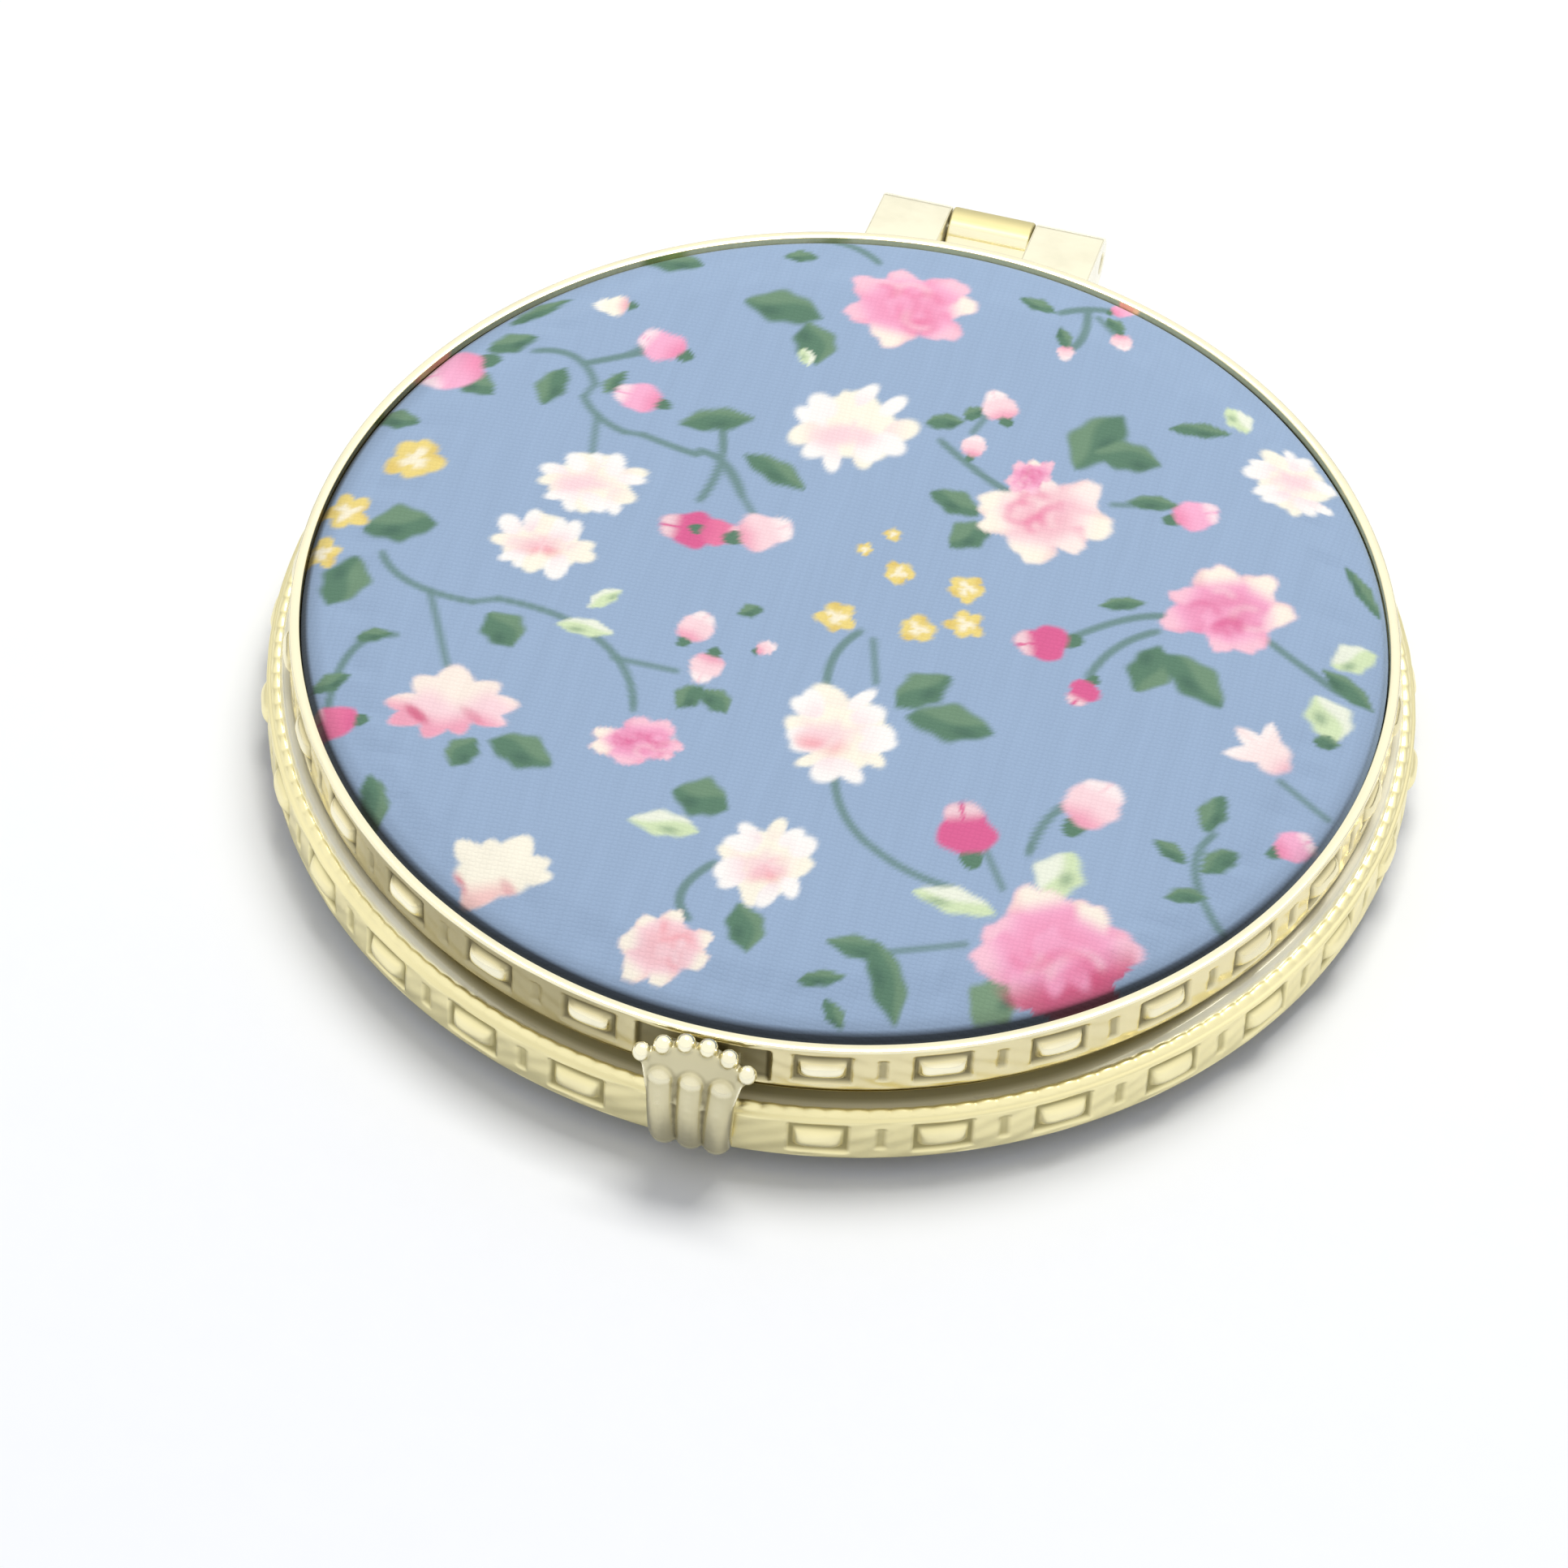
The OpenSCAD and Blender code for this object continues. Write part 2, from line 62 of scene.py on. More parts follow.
bounds_before = [list(corner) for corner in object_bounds()]
MM = 0.001
print("CAD parts:", len(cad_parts))

# %% [markdown]
# Sizes that the dressed pieces share with the exact ones, in millimetres. The lid's and the
# base's halves are alike, so each is described from its rim's mirror side upwards and then
# set into place: the lid as it is, the base turned upside down. Two sets of shapes would be
# the other way, but then every change would have to be made twice.

# %% Sizes of the real pieces
BASE_R, LID_R = 35.6, 34.2
BASE_H, LID_H = 3.6, 3.5
BASE_TOP, LID_LOW = 5.1, 6.2
WELL_R, SEAT_R, SHELF_R = 33.55, 33.3, 31.35
WELL, SEAT = 1.3, 1.6
PART_Z, PROUD = 5.65, 0.5
HINGE_Y, KNUCKLE_R = 39.1, 1.7
BARREL_HALF, ARM_IN, ARM_OUT = 2.7, 2.8, 7.45
CLASP_OUT, CLASP_Z, CLASP_HALF = 34.95, 7.75, 4.0
REPEATS, BORDER = 30, 0.6
COVER_R, SHOULDER = 33.45, 0.55
BASE_CROWN, LID_CROWN, BASE_FLAT = 2.0, 1.1, 0.5
CLOTH_T = 0.3


def in_lid(p):
    """Points of a half, in millimetres, set into the lid, in metres."""
    return (p + np.array([0, 0, LID_LOW])) * MM


def in_base(p):
    """Points of a half, in millimetres, set into the base, in metres."""
    return (p * np.array([1, 1, -1]) + np.array([0, 0, BASE_TOP])) * MM


print("rims:", 2 * LID_R, "and", 2 * BASE_R, "mm across")


# %% [markdown]
# Meshes with many thousand points could be built point by point with Blender's operators, but
# they are filled straight from arrays here, which is far faster. A soft step is the one shape
# that embossing, petals and leaves are all drawn with.

# %% Mesh helpers
def soft(low, high, v):
    """0 below low, 1 above high, and an even S-curve between them."""
    t = np.clip((v - low) / (high - low), 0, 1)
    return t * t * (3 - 2 * t)


def in_scene(name, data):
    """A new object in the scene."""
    made = bpy.data.objects.new(name, data)
    scene.collection.objects.link(made)
    return made


def mesh_piece(name, points, quads, flip=False, uv=None):
    """A piece made from points and four-cornered faces. uv holds one pair for each corner."""
    quads = quads[:, ::-1] if flip else quads
    mesh = bpy.data.meshes.new(name)
    mesh.vertices.add(len(points))
    mesh.vertices.foreach_set("co", points.astype(np.float32).ravel())
    mesh.loops.add(quads.size)
    mesh.loops.foreach_set("vertex_index", quads.astype(np.int32).ravel())
    mesh.polygons.add(len(quads))
    mesh.polygons.foreach_set("loop_start", np.arange(0, quads.size, 4, dtype=np.int32))
    mesh.polygons.foreach_set("use_smooth", np.ones(len(quads), dtype=bool))
    mesh.update(calc_edges=True)
    if uv is not None:
        layer = mesh.uv_layers.new(name="OFBake")
        uv = uv[:, ::-1] if flip else uv
        layer.data.foreach_set("uv", uv.astype(np.float32).ravel())
    mesh.validate()
    return in_scene(name, mesh)


def ring_quads(rings, around, close):
    """Faces between rings of points that run once around. close joins the last to the first."""
    i = np.arange(rings if close else rings - 1)
    a, b = np.meshgrid(i, np.arange(around), indexing="ij")
    a2, b2 = (a + 1) % rings, (b + 1) % around
    corners = [a * around + b, a * around + b2, a2 * around + b2, a2 * around + b]
    return np.stack(corners, -1).reshape(-1, 4)


def net_quads(n):
    """Faces of a net of n by n points."""
    i, j = np.meshgrid(np.arange(n - 1), np.arange(n - 1), indexing="ij")
    corners = [i * n + j, (i + 1) * n + j, (i + 1) * n + j + 1, i * n + j + 1]
    return np.stack(corners, -1).reshape(-1, 4)


def point_value(piece, name, values):
    """A number stored at each point of a mesh, for its material to read."""
    layer = piece.data.attributes.new(name, "FLOAT", "POINT")
    layer.data.foreach_set("value", values.astype(np.float32).ravel())


def point_colour(piece, name, colours):
    """A colour stored at each point of a mesh, for its material to read."""
    layer = piece.data.attributes.new(name, "FLOAT_COLOR", "POINT")
    opaque = np.concatenate([colours, np.ones((len(colours), 1))], 1)
    layer.data.foreach_set("color", opaque.astype(np.float32).ravel())


def linear(colour):
    """A colour written as it looks, from 0 to 255, turned into the light that it gives back."""
    c = np.asarray(colour, float) / 255
    return np.where(c <= 0.04045, c / 12.92, ((c + 0.055) / 1.055) ** 2.4)


def rgba(colour):
    return (*linear(colour), 1.0)


# %% [markdown]
# Shaders could be wired up node by node. A few helpers keep them short enough to read instead:
# `group` starts a node group with named sockets, `feed` links or sets a node's inputs, `put`
# adds a node and feeds it, and the rest are the kinds of node that come up again and again.

# %% Node helpers
def group(name, inputs, outputs):
    """A node group, the sockets that it is given, and the node that takes what it gives back."""
    tree = bpy.data.node_groups.new(name, "ShaderNodeTree")
    for label, kind, value in inputs:
        socket = tree.interface.new_socket(label, in_out="INPUT", socket_type=kind)
        socket.default_value = value
    for label, kind in outputs:
        tree.interface.new_socket(label, in_out="OUTPUT", socket_type=kind)
    return tree, tree.nodes.new("NodeGroupInput").outputs, tree.nodes.new("NodeGroupOutput")


def feed(tree, node, links):
    """Links each input to a socket, or sets it to a plain value."""
    for key, value in links.items():
        if isinstance(value, bpy.types.NodeSocket):
            tree.links.new(value, node.inputs[key])
        else:
            node.inputs[key].default_value = value


def put(tree, kind, links=None, **values):
    node = tree.nodes.new("ShaderNode" + kind)
    for key, value in values.items():
        setattr(node, key, value)
    feed(tree, node, links or {})
    return node


def blend(tree, amount, a, b):
    return put(tree, "Mix", {0: amount, 6: a, 7: b}, data_type="RGBA").outputs[2]


def maths(tree, how, a, b=0.0, c=0.0):
    return put(tree, "Math", {0: a, 1: b, 2: c}, operation=how).outputs[0]


def vector(tree, how, a, b):
    """Sums of vectors. b is a vector, or for SCALE a number."""
    other = "Scale" if how == "SCALE" else 1
    return put(tree, "VectorMath", {0: a, other: b}, operation=how).outputs["Vector"]


def ramp(tree, value, low, high):
    """Maps value so that low gives 0 and high gives 1, held between them."""
    links = {"Value": value, "From Min": low, "From Max": high}
    return put(tree, "MapRange", links, interpolation_type="SMOOTHSTEP").outputs["Result"]


def own_place(tree):
    """Where a point lies on its piece, in metres."""
    return put(tree, "TexCoord").outputs["Object"]


def noise(tree, place, scale, detail, rough=0.5):
    links = {"Vector": place, "Scale": scale, "Detail": detail, "Roughness": rough}
    return put(tree, "TexNoise", links).outputs["Fac"]


def material(name):
    made = bpy.data.materials.new(name)
    made.use_nodes = True
    return made, made.node_tree, made.node_tree.nodes["Principled BSDF"]


def relief(tree, shader, height, strength, depth):
    """Fine relief on a surface, depth millimetres deep."""
    bump = put(tree, "Bump", {"Height": height, "Strength": strength, "Distance": depth * MM})
    feed(tree, shader, {"Normal": bump.outputs["Normal"]})


# %% [markdown]
# Plated metal. The rims are a zinc casting with a flash of pale gold. Plating stays bright where
# fingers polish it and goes brown where polish and dust settle, in the grooves. Wear like this
# could be painted on by hand. One node group makes it from two numbers stored at each point
# instead, because then each casting wears in its own hollows. The first darkens the gold, for
# dust in the grooves and also as painted shade in gaps, hollows and on sides turned from the
# light. The second smooths it where it is polished and paints a cream highlight into its colour.

# %% Plating
plating, given, out = group("Plating", [
    ("Bright", "NodeSocketColor", rgba((232, 220, 176))),
    ("Dull", "NodeSocketColor", rgba((96, 88, 62))),
    ("Dust and shade", "NodeSocketFloat", 0.0),
    ("Polish and highlight", "NodeSocketFloat", 0.0),
    ("Polish", "NodeSocketFloat", 0.22),
], [("Colour", "NodeSocketColor"), ("Roughness", "NodeSocketFloat"), ("Height", "NodeSocketFloat")])
place = own_place(plating)
cloudy = noise(plating, place, 160.0, 4.0, 0.6)
fine = noise(plating, place, 2400.0, 3.0, 0.6)
tarnish = ramp(plating, cloudy, 0.42, 0.78)
# Dust in the grooves and painted shade, with faint clouds of tarnish
settled = maths(plating, "MAXIMUM", given["Dust and shade"], maths(plating, "MULTIPLY", tarnish, 0.16))
# Painted highlight: the gold is whitened towards cream
bright_and_highlight = blend(plating, given["Polish and highlight"], given["Bright"], rgba((255, 249, 220)))
rough = maths(plating, "MULTIPLY_ADD", cloudy, 0.14, given["Polish"])
rough = maths(plating, "MULTIPLY_ADD", settled, 0.4, rough)
smooth = maths(plating, "MULTIPLY_ADD", given["Polish and highlight"], -0.5, 1.0)
clouds = maths(plating, "MULTIPLY", cloudy, 0.65)
feed(plating, out, {
    "Colour": blend(plating, settled, bright_and_highlight, given["Dull"]),
    "Roughness": maths(plating, "MULTIPLY", rough, smooth),
    "Height": maths(plating, "MULTIPLY_ADD", fine, 0.35, clouds),
})


def gold(name, bright=(232, 220, 176), dull=(96, 88, 60), polish=0.16, grooves=False):
    """A gold finish. With grooves it reads the piece's dust and painted shade, its polish and painted
    highlight, and its matt share.
    """
    made, tree, shader = material(name)
    tones = {"Bright": rgba(bright), "Dull": rgba(dull), "Polish": polish}
    wear = put(tree, "Group", tones, node_tree=plating)
    if grooves:
        groove, polish_and_highlight, matt = [put(tree, "Attribute", attribute_name=stored).outputs["Fac"]
                               for stored in ("groove", "polish_and_highlight", "matt")]
        feed(tree, wear, {"Dust and shade": groove, "Polish and highlight": polish_and_highlight})
        feed(tree, shader, {"Metallic": maths(tree, "SUBTRACT", 1.0, matt)})
    else:
        feed(tree, shader, {"Metallic": 1.0})
    feed(tree, shader, {"Base Color": wear.outputs["Colour"], "Roughness": wear.outputs["Roughness"]})
    relief(tree, shader, wear.outputs["Height"], 0.5, 0.02)
    return made


rim_gold = gold("rim_gold", (231, 219, 171), grooves=True)
base_gold = gold("base_gold", (248, 238, 188), (178, 170, 128), 0.28, grooves=True)
bezel_gold = gold("bezel_gold", polish=0.12)
clasp_gold = gold("clasp_gold", (212, 204, 168), (112, 104, 78), 0.24, grooves=True)
pin_gold = gold("pin_gold", (205, 200, 176), polish=0.3)
print("plating:", len(plating.nodes), "nodes in 5 finishes")

# %% [markdown]
# Printed cotton. The print is flat dye on a plain weave, so the weave shows through every
# colour: threads cross over and under, which gives a fine chequer of light and shade, and each
# thread takes the dye a little differently. Woven threads could be modelled, at the cost of
# millions of faces. Two sine waves give the same chequer, and a little noise bends them, because
# threads never lie quite straight. The flowers themselves are drawn further down.

# %% Cloth
weave, given, out = group("Plain weave", [
    ("Dye", "NodeSocketColor", rgba((150, 170, 210))),
    ("Pitch", "NodeSocketFloat", 0.34 * MM),
], [("Colour", "NodeSocketColor"), ("Height", "NodeSocketFloat")])
place = own_place(weave)
sway = put(weave, "TexNoise", {"Vector": place, "Scale": 90.0, "Detail": 2.0}).outputs["Color"]
bent = vector(weave, "SCALE", vector(weave, "SUBTRACT", sway, (0.5, 0.5, 0.5)), 0.9 * MM)
place = vector(weave, "ADD", place, bent)
axes = put(weave, "SeparateXYZ", {0: place}).outputs
across = maths(weave, "DIVIDE", axes["X"], given["Pitch"])
along = maths(weave, "DIVIDE", axes["Y"], given["Pitch"])
wave_x = maths(weave, "SINE", maths(weave, "MULTIPLY", across, math.pi))
wave_y = maths(weave, "SINE", maths(weave, "MULTIPLY", along, math.pi))
over_under = maths(weave, "MULTIPLY", wave_x, wave_y)
on_top = ramp(weave, over_under, -0.4, 0.4)
warp = maths(weave, "MULTIPLY", maths(weave, "ABSOLUTE", wave_x), on_top)
under = maths(weave, "SUBTRACT", 1.0, on_top)
weft = maths(weave, "MULTIPLY", maths(weave, "ABSOLUTE", wave_y), under)
thread = maths(weave, "ADD", warp, weft)
streak = noise(weave, vector(weave, "MULTIPLY", place, (1.0, 0.07, 1.0)), 1500.0, 2.0)
uneven = maths(weave, "MULTIPLY", maths(weave, "SUBTRACT", streak, 0.5), 0.1)
shade = maths(weave, "ADD", maths(weave, "MULTIPLY_ADD", thread, 0.045, 0.955), uneven)
feed(weave, out, {"Colour": vector(weave, "SCALE", given["Dye"], shade), "Height": thread})

cloth, tree, shader = material("printed_cotton")
# The stored print colour also carries the painted shade along the rim
dye = put(tree, "Attribute", attribute_name="print").outputs["Color"]
woven = put(tree, "Group", {"Dye": dye}, node_tree=weave).outputs
feed(tree, shader, {"Base Color": woven["Colour"], "Roughness": 0.82, "Sheen Weight": 0.12,
                    "Sheen Roughness": 0.5, "Specular IOR Level": 0.25})
relief(tree, shader, woven["Height"], 0.45, 0.04)
print("weave:", len(weave.nodes), "nodes")

# %% [markdown]
# The print is a small-flower calico: pink roses, cream daisies, buds, yellow sprigs and dark
# green leaves, strewn on blue and tied by thin stems. A picture could be wrapped over the cloth.
# Here each motif is a short function that lays dye over what is already there, because formulas
# stay sharp at any size and can be changed. Places and sizes are in millimetres, seen from above
# with the pattern's own up, which is turned 12 degrees from the hinge.

# %% Laying dye
BLUE = linear((155, 177, 203))
INK = {name: linear(value) for name, value in {
    "dark": (92, 128, 104), "deep": (70, 104, 88), "mid": (126, 156, 124), "pale": (214, 230, 184),
    "stem": (112, 142, 140), "pink": (250, 178, 206), "rose": (236, 122, 160), "magenta": (222, 98, 146),
    "crimson": (206, 78, 116), "coral": (246, 168, 174), "blush": (252, 216, 218), "shell": (255, 232, 226),
    "cream": (255, 248, 226), "white": (255, 251, 243), "gold": (240, 216, 128), "ochre": (220, 188, 98),
}.items()}


def wobble(turn, seed):
    """An uneven, closed curve: three waves with chance phases."""
    chance = np.random.default_rng(seed)
    waves = enumerate((3, 5, 8))
    return sum(np.sin(n * turn + chance.uniform(0, 2 * np.pi)) / (k + 1.4) for k, n in waves)


class Print:
    """The dye at each point of a cover. Each motif and stem takes the next seed for its chances."""

    def __init__(self, x, y):
        turn = math.radians(12)
        self.x = x * math.cos(turn) + y * math.sin(turn)
        self.y = -x * math.sin(turn) + y * math.cos(turn)
        self.dye = np.tile(BLUE, (len(x), 1))
        self.seed = 7

    def near(self, x, y, reach):
        """The points close to a place, and how far they are from it."""
        self.seed += 1
        at = np.nonzero((abs(self.x - x) < reach) & (abs(self.y - y) < reach))[0]
        return at, self.x[at] - x, self.y[at] - y

    def turned(self, x, y, r, angle, wide=1.3):
        """Points near a motif in its own turned frame, where its radius is 1, and its seed."""
        at, dx, dy = self.near(x, y, r * wide)
        turn = math.radians(angle)
        u = (dx * math.cos(turn) + dy * math.sin(turn)) / r
        v = (-dx * math.sin(turn) + dy * math.cos(turn)) / r
        return at, u, v, self.seed

    def lay(self, at, mask, ink):
        """Covers those points with ink, by a share from 0 to 1 for each."""
        self.dye[at] += np.clip(mask, 0, 1)[:, None] * (INK[ink] - self.dye[at])


print("inks:", len(INK), "on a blue ground")


# %% [markdown]
# Stems are drawn first, so that everything else lies over them. Straight lines between the
# places would look stiff, so a stem of three places or more runs in a smooth curve.

# %% Stems
STEMS = [
    [(-3.4, 33.5), (-0.9, 32.8), (0.9, 31.1)],
    [(-20.6, 21.0), (-17.4, 19.9), (-16.3, 15.3), (-11.3, 12.8), (-8.4, 11.9), (-6.9, 8.9)],
    [(-8.4, 14.6), (-8.4, 11.4), (-9.5, 8.3)], [(-7.9, 11.0), (-5.9, 6.9)],
    [(-16.3, 15.3), (-16.4, 11.6)], [(-17.4, 19.9), (-14.5, 20.9), (-13.1, 21.4)],
    [(-28.8, 2.8), (-25.6, -0.4), (-18.4, -1.7), (-14.1, -4.9), (-12.6, -9.4)],
    [(-25.6, -0.4), (-24.1, -6.5)], [(-14.0, -5.3), (-10.2, -6.1)],
    [(0.9, -2.0), (-0.7, -4.4), (-0.9, -7.6)], [(1.7, -2.6), (2.0, -6.1)],
    [(-0.2, -14.0), (0.9, -17.6), (3.7, -20.4), (7.3, -22.0)],
    [(11.6, -18.9), (12.6, -16.3), (14.1, -14.7)], [(8.9, -18.6), (10.1, -21.7)],
    [(-8.4, -25.4), (-8.9, -23.4), (-7.1, -21.1)], [(22.7, -16.3), (21.6, -19.4), (23.3, -23.4)],
    [(19.6, 0.9), (16.9, 0.3), (13.4, -1.7)], [(19.1, -0.4), (16.6, -2.0), (14.9, -4.6)],
    [(25.9, -0.4), (29.1, -3.1), (31.0, -4.0)], [(26.7, -11.7), (29.6, -13.9)],
    [(5.3, 14.7), (8.0, 11.9), (10.0, 10.4)], [(16.2, 10.1), (20.3, 10.3)],
    [(12.6, 27.3), (14.4, 28.1), (16.4, 28.1)], [(14.4, 28.1), (14.1, 25.1), (13.1, 23.7)],
    [(15.1, 27.3), (16.4, 25.3)], [(3.7, -27.0), (8.0, -26.1)],
    [(-31.1, -10.8), (-30.2, -5.6), (-27.4, -4.1)], [(-14.5, 21.0), (-13.4, 22.1)],
    [(-15.9, 18.1), (-14.0, 17.3)], [(7.3, 15.6), (8.4, 17.6)],
]


def stem(on, *places):
    """A thin line through its places, laid down piece by piece."""
    knots = np.array(places)
    if len(knots) > 2:
        t = np.linspace(0, len(knots) - 1, 8 * len(knots))
        low = np.clip(np.round(t).astype(int), 1, len(knots) - 2)
        u = (t - low)[:, None]
        before, here, after = knots[low - 1], knots[low], knots[low + 1]
        knots = here + u * (after - before) / 2 + u * u * (after + before - 2 * here) / 2
    for a, b in zip(knots[:-1], knots[1:]):
        half = np.linalg.norm(b - a) / 2
        at, dx, dy = on.near(*(a + b) / 2, half + 0.6)
        way = (b - a) / max(np.linalg.norm(b - a), 1e-6)
        along = np.clip(dx * way[0] + dy * way[1], -half, half)
        off = np.hypot(dx - along * way[0], dy - along * way[1])
        on.lay(at, 0.85 * soft(0.42, 0.04, off), "stem")


print("stems:", len(STEMS))


# %% [markdown]
# Leaves. A calico leaf is a pointed oval with a light and a dark side, never a flat green
# shape, so a wavy seam parts two greens and a shadow lies at its foot.

# %% Leaves
LEAVES = [
    (-12.4, 30.6, 4.4, 2.3, -10), (-4.1, 31.4, 2.3, 1.3, 0), (-5.0, 26.0, 5.3, 3.0, -15),
    (-2.9, 22.8, 4.0, 2.7, -80), (-3.4, 21.5, 1.7, 1.0, -70, "pale"), (-20.6, 25.1, 4.7, 1.1, 35),
    (-22.1, 21.9, 3.4, 1.9, 20), (-24.1, 18.0, 3.3, 2.0, -40), (-19.3, 17.8, 3.7, 1.9, 70),
    (-15.4, 18.3, 2.6, 1.0, 60), (-8.8, 15.4, 4.9, 2.0, 10), (-4.9, 11.2, 4.9, 1.9, -35),
    (-28.8, 14.9, 3.0, 1.7, -10), (-27.9, 5.3, 4.7, 3.0, 5), (-30.9, 0.6, 4.4, 3.0, -110),
    (-20.9, -3.3, 3.3, 2.7, -60), (-14.9, -0.4, 2.6, 1.2, 40, "pale"),
    (-15.9, -2.9, 3.7, 1.4, -10, "pale"), (-28.8, -4.1, 2.3, 1.1, 10), (-31.1, -7.7, 2.6, 1.4, 30),
    (-5.9, -0.8, 1.7, 1.1, 20), (-9.3, -8.1, 2.4, 1.7, 50), (-7.6, -8.3, 2.4, 1.7, -50),
    (5.5, 16.4, 2.6, 1.4, 10), (7.3, 17.3, 1.7, 1.1, 50), (6.4, 9.4, 3.7, 2.0, -30),
    (7.3, 6.7, 3.3, 2.3, 40), (15.1, 15.6, 6.0, 3.3, 60), (17.1, 14.4, 4.4, 2.6, -10),
    (18.7, 10.5, 3.3, 1.3, 0), (21.6, 17.3, 4.1, 1.3, 0), (24.1, 18.7, 2.7, 1.7, -60, "pale"),
    (11.2, 28.0, 2.7, 1.3, -30), (12.9, 24.8, 2.1, 1.0, -80), (16.2, 26.7, 1.9, 1.1, -60),
    (16.9, 1.7, 3.0, 1.1, 10), (18.7, -3.6, 4.3, 2.7, -110), (21.4, -4.1, 5.6, 2.7, -48),
    (31.9, 4.9, 4.6, 1.1, -62), (31.2, -0.9, 3.3, 2.2, 30, "pale"), (29.7, -6.1, 3.7, 2.9, -70, "pale"),
    (30.9, -3.5, 4.2, 1.5, -40), (29.5, -8.0, 1.7, 1.1, 0), (4.8, -6.5, 4.4, 2.6, 40),
    (6.6, -9.0, 5.6, 2.9, -10), (-8.1, -16.1, 3.7, 3.0, -20), (-10.2, -18.3, 4.4, 1.9, -10, "pale"),
    (-5.0, -25.8, 3.7, 2.3, -80), (-22.7, -13.3, 2.7, 2.0, 60), (-19.1, -13.1, 4.4, 2.6, -25),
    (13.4, -20.4, 4.1, 2.9, 70, "pale"), (7.3, -22.9, 5.3, 1.9, -15, "pale"),
    (9.8, -29.9, 3.9, 2.9, 50, "mid"), (1.9, -26.9, 4.4, 1.7, -15), (3.5, -29.1, 6.0, 2.1, -75),
    (-0.4, -29.2, 3.0, 1.1, 10), (0.5, -31.5, 2.3, 1.1, -60), (22.6, -14.7, 3.3, 1.7, 70),
    (20.1, -17.9, 2.6, 1.2, -40), (23.0, -18.3, 3.0, 1.6, 40), (21.0, -21.1, 2.7, 1.2, 10),
    (-27.7, -17.0, 4.4, 1.7, -80),
]


def leaf(on, x, y, length, width, angle, ink="dark"):
    at, u, v, seed = on.turned(x, y, length / 2, angle, 1.4)
    chance = np.random.default_rng(seed)
    v = v * length / width + 0.16 * u * u
    edge = np.clip(1 - np.abs(u) ** 1.9, 0, 1) * (1 + 0.1 * np.sin(8 * u + seed))
    mask = soft(0.2, -0.2, np.abs(v) - edge) * (np.abs(u) < 1)
    on.lay(at, mask, ink)
    lighter, darker = ("mid", "deep") if ink != "pale" else ("white", "mid")
    on.lay(at, mask * 0.6 * soft(0.0, 0.4, v + 0.25 * np.sin(3 * u + seed)), lighter)
    on.lay(at, mask * 0.7 * soft(0.5, 0.0, np.hypot(u + chance.uniform(-0.4, 0.4), v + 0.4)), darker)


print("leaves:", len(LEAVES))


# %% [markdown]
# Daisies. One star shape repeated would look stamped, so each petal gets its own length, width
# and slant by chance, and the heart lies a little off the middle.

# %% Daisies
DAISIES = [
    (-0.2, 15.4, 4.1, 9, 0.2, "blush"), (-16.3, 9.4, 3.3, 11, 0.5, "blush"),
    (-19.0, 3.9, 3.2, 10, 0.1, "coral"), (27.4, 13.5, 3.1, 11, 0.7, "blush"),
    (0.0, -10.4, 3.9, 12, 0.4, "coral"), (-4.1, -20.8, 3.4, 10, 0.0, "coral"),
]


def daisy(on, x, y, r, petals, turn, heart):
    """A ragged flower: short cream petals of uneven length round an off-centre heart."""
    at, u, v, seed = on.turned(x, y, r, 0)
    chance = np.random.default_rng(seed)
    angle, reach = np.arctan2(v, u), np.hypot(u, v)
    body = soft(0.78, 0.66, reach + 0.08 * wobble(angle, seed))
    on.lay(at, body, "cream")
    for k in range(petals + 3):
        spin = turn + (k + chance.uniform(-0.4, 0.4)) * 2 * math.pi / (petals + 3)
        far = 0.66 + 0.1 * math.sin(2 * spin + seed) + chance.uniform(-0.06, 0.08)
        wide = chance.uniform(0.13, 0.24)
        along = u * math.cos(spin) + v * math.sin(spin) - far
        across = v * math.cos(spin) - u * math.sin(spin) + 0.5 * chance.uniform(-1, 1) * along
        petal = soft(1.2, 0.75, np.hypot(along / 0.28, across / wide))
        on.lay(at, petal, "white" if k % 3 else "cream")
        on.lay(at, petal * chance.uniform(0, 0.7) * soft(0.2, -0.3, along), "blush")
    for k in range(3):
        out_u, out_v = u - chance.uniform(-0.35, 0.15), v - chance.uniform(-0.25, 0.2)
        off = np.hypot(out_u / 0.42, out_v / 0.26) + 0.25 * wobble(angle, seed + k)
        on.lay(at, (0.6 if k else 0.95) * body * soft(1.4, 0.1, off), "blush" if k else heart)


print("daisies:", len(DAISIES))


# %% [markdown]
# Roses. An open rose is a heap of folded petals. Seven uneven lobes make its outline, some with
# cream tips, and nine small folds, most of them dark, break up its middle. The largest also has
# a dark crescent under its lower right side.

# %% Roses
ROSES = [
    (2.9, 26.7, 4.9, 0.9, 0, "pink", "rose", (0, 5)),
    (11.9, 8.7, 4.6, 0.9, 0, "shell", "rose", (0, 3, 4, 5)),
    (23.4, 1.7, 4.5, 0.92, 0, "pink", "magenta", (0, 1, 2)),
    (13.4, -26.1, 5.1, 0.96, 0, "pink", "crimson", (1, 2)),
    (-12.0, -12.0, 3.5, 0.6, 0, "pink", "magenta", (3, 4)),
    (11.0, 12.1, 1.9, 0.8, 40, "pink", "magenta", (1,)),
    (-9.7, -27.4, 3.1, 1.0, 15, "blush", "coral", (0, 1, 2, 3, 4, 5, 6)),
]


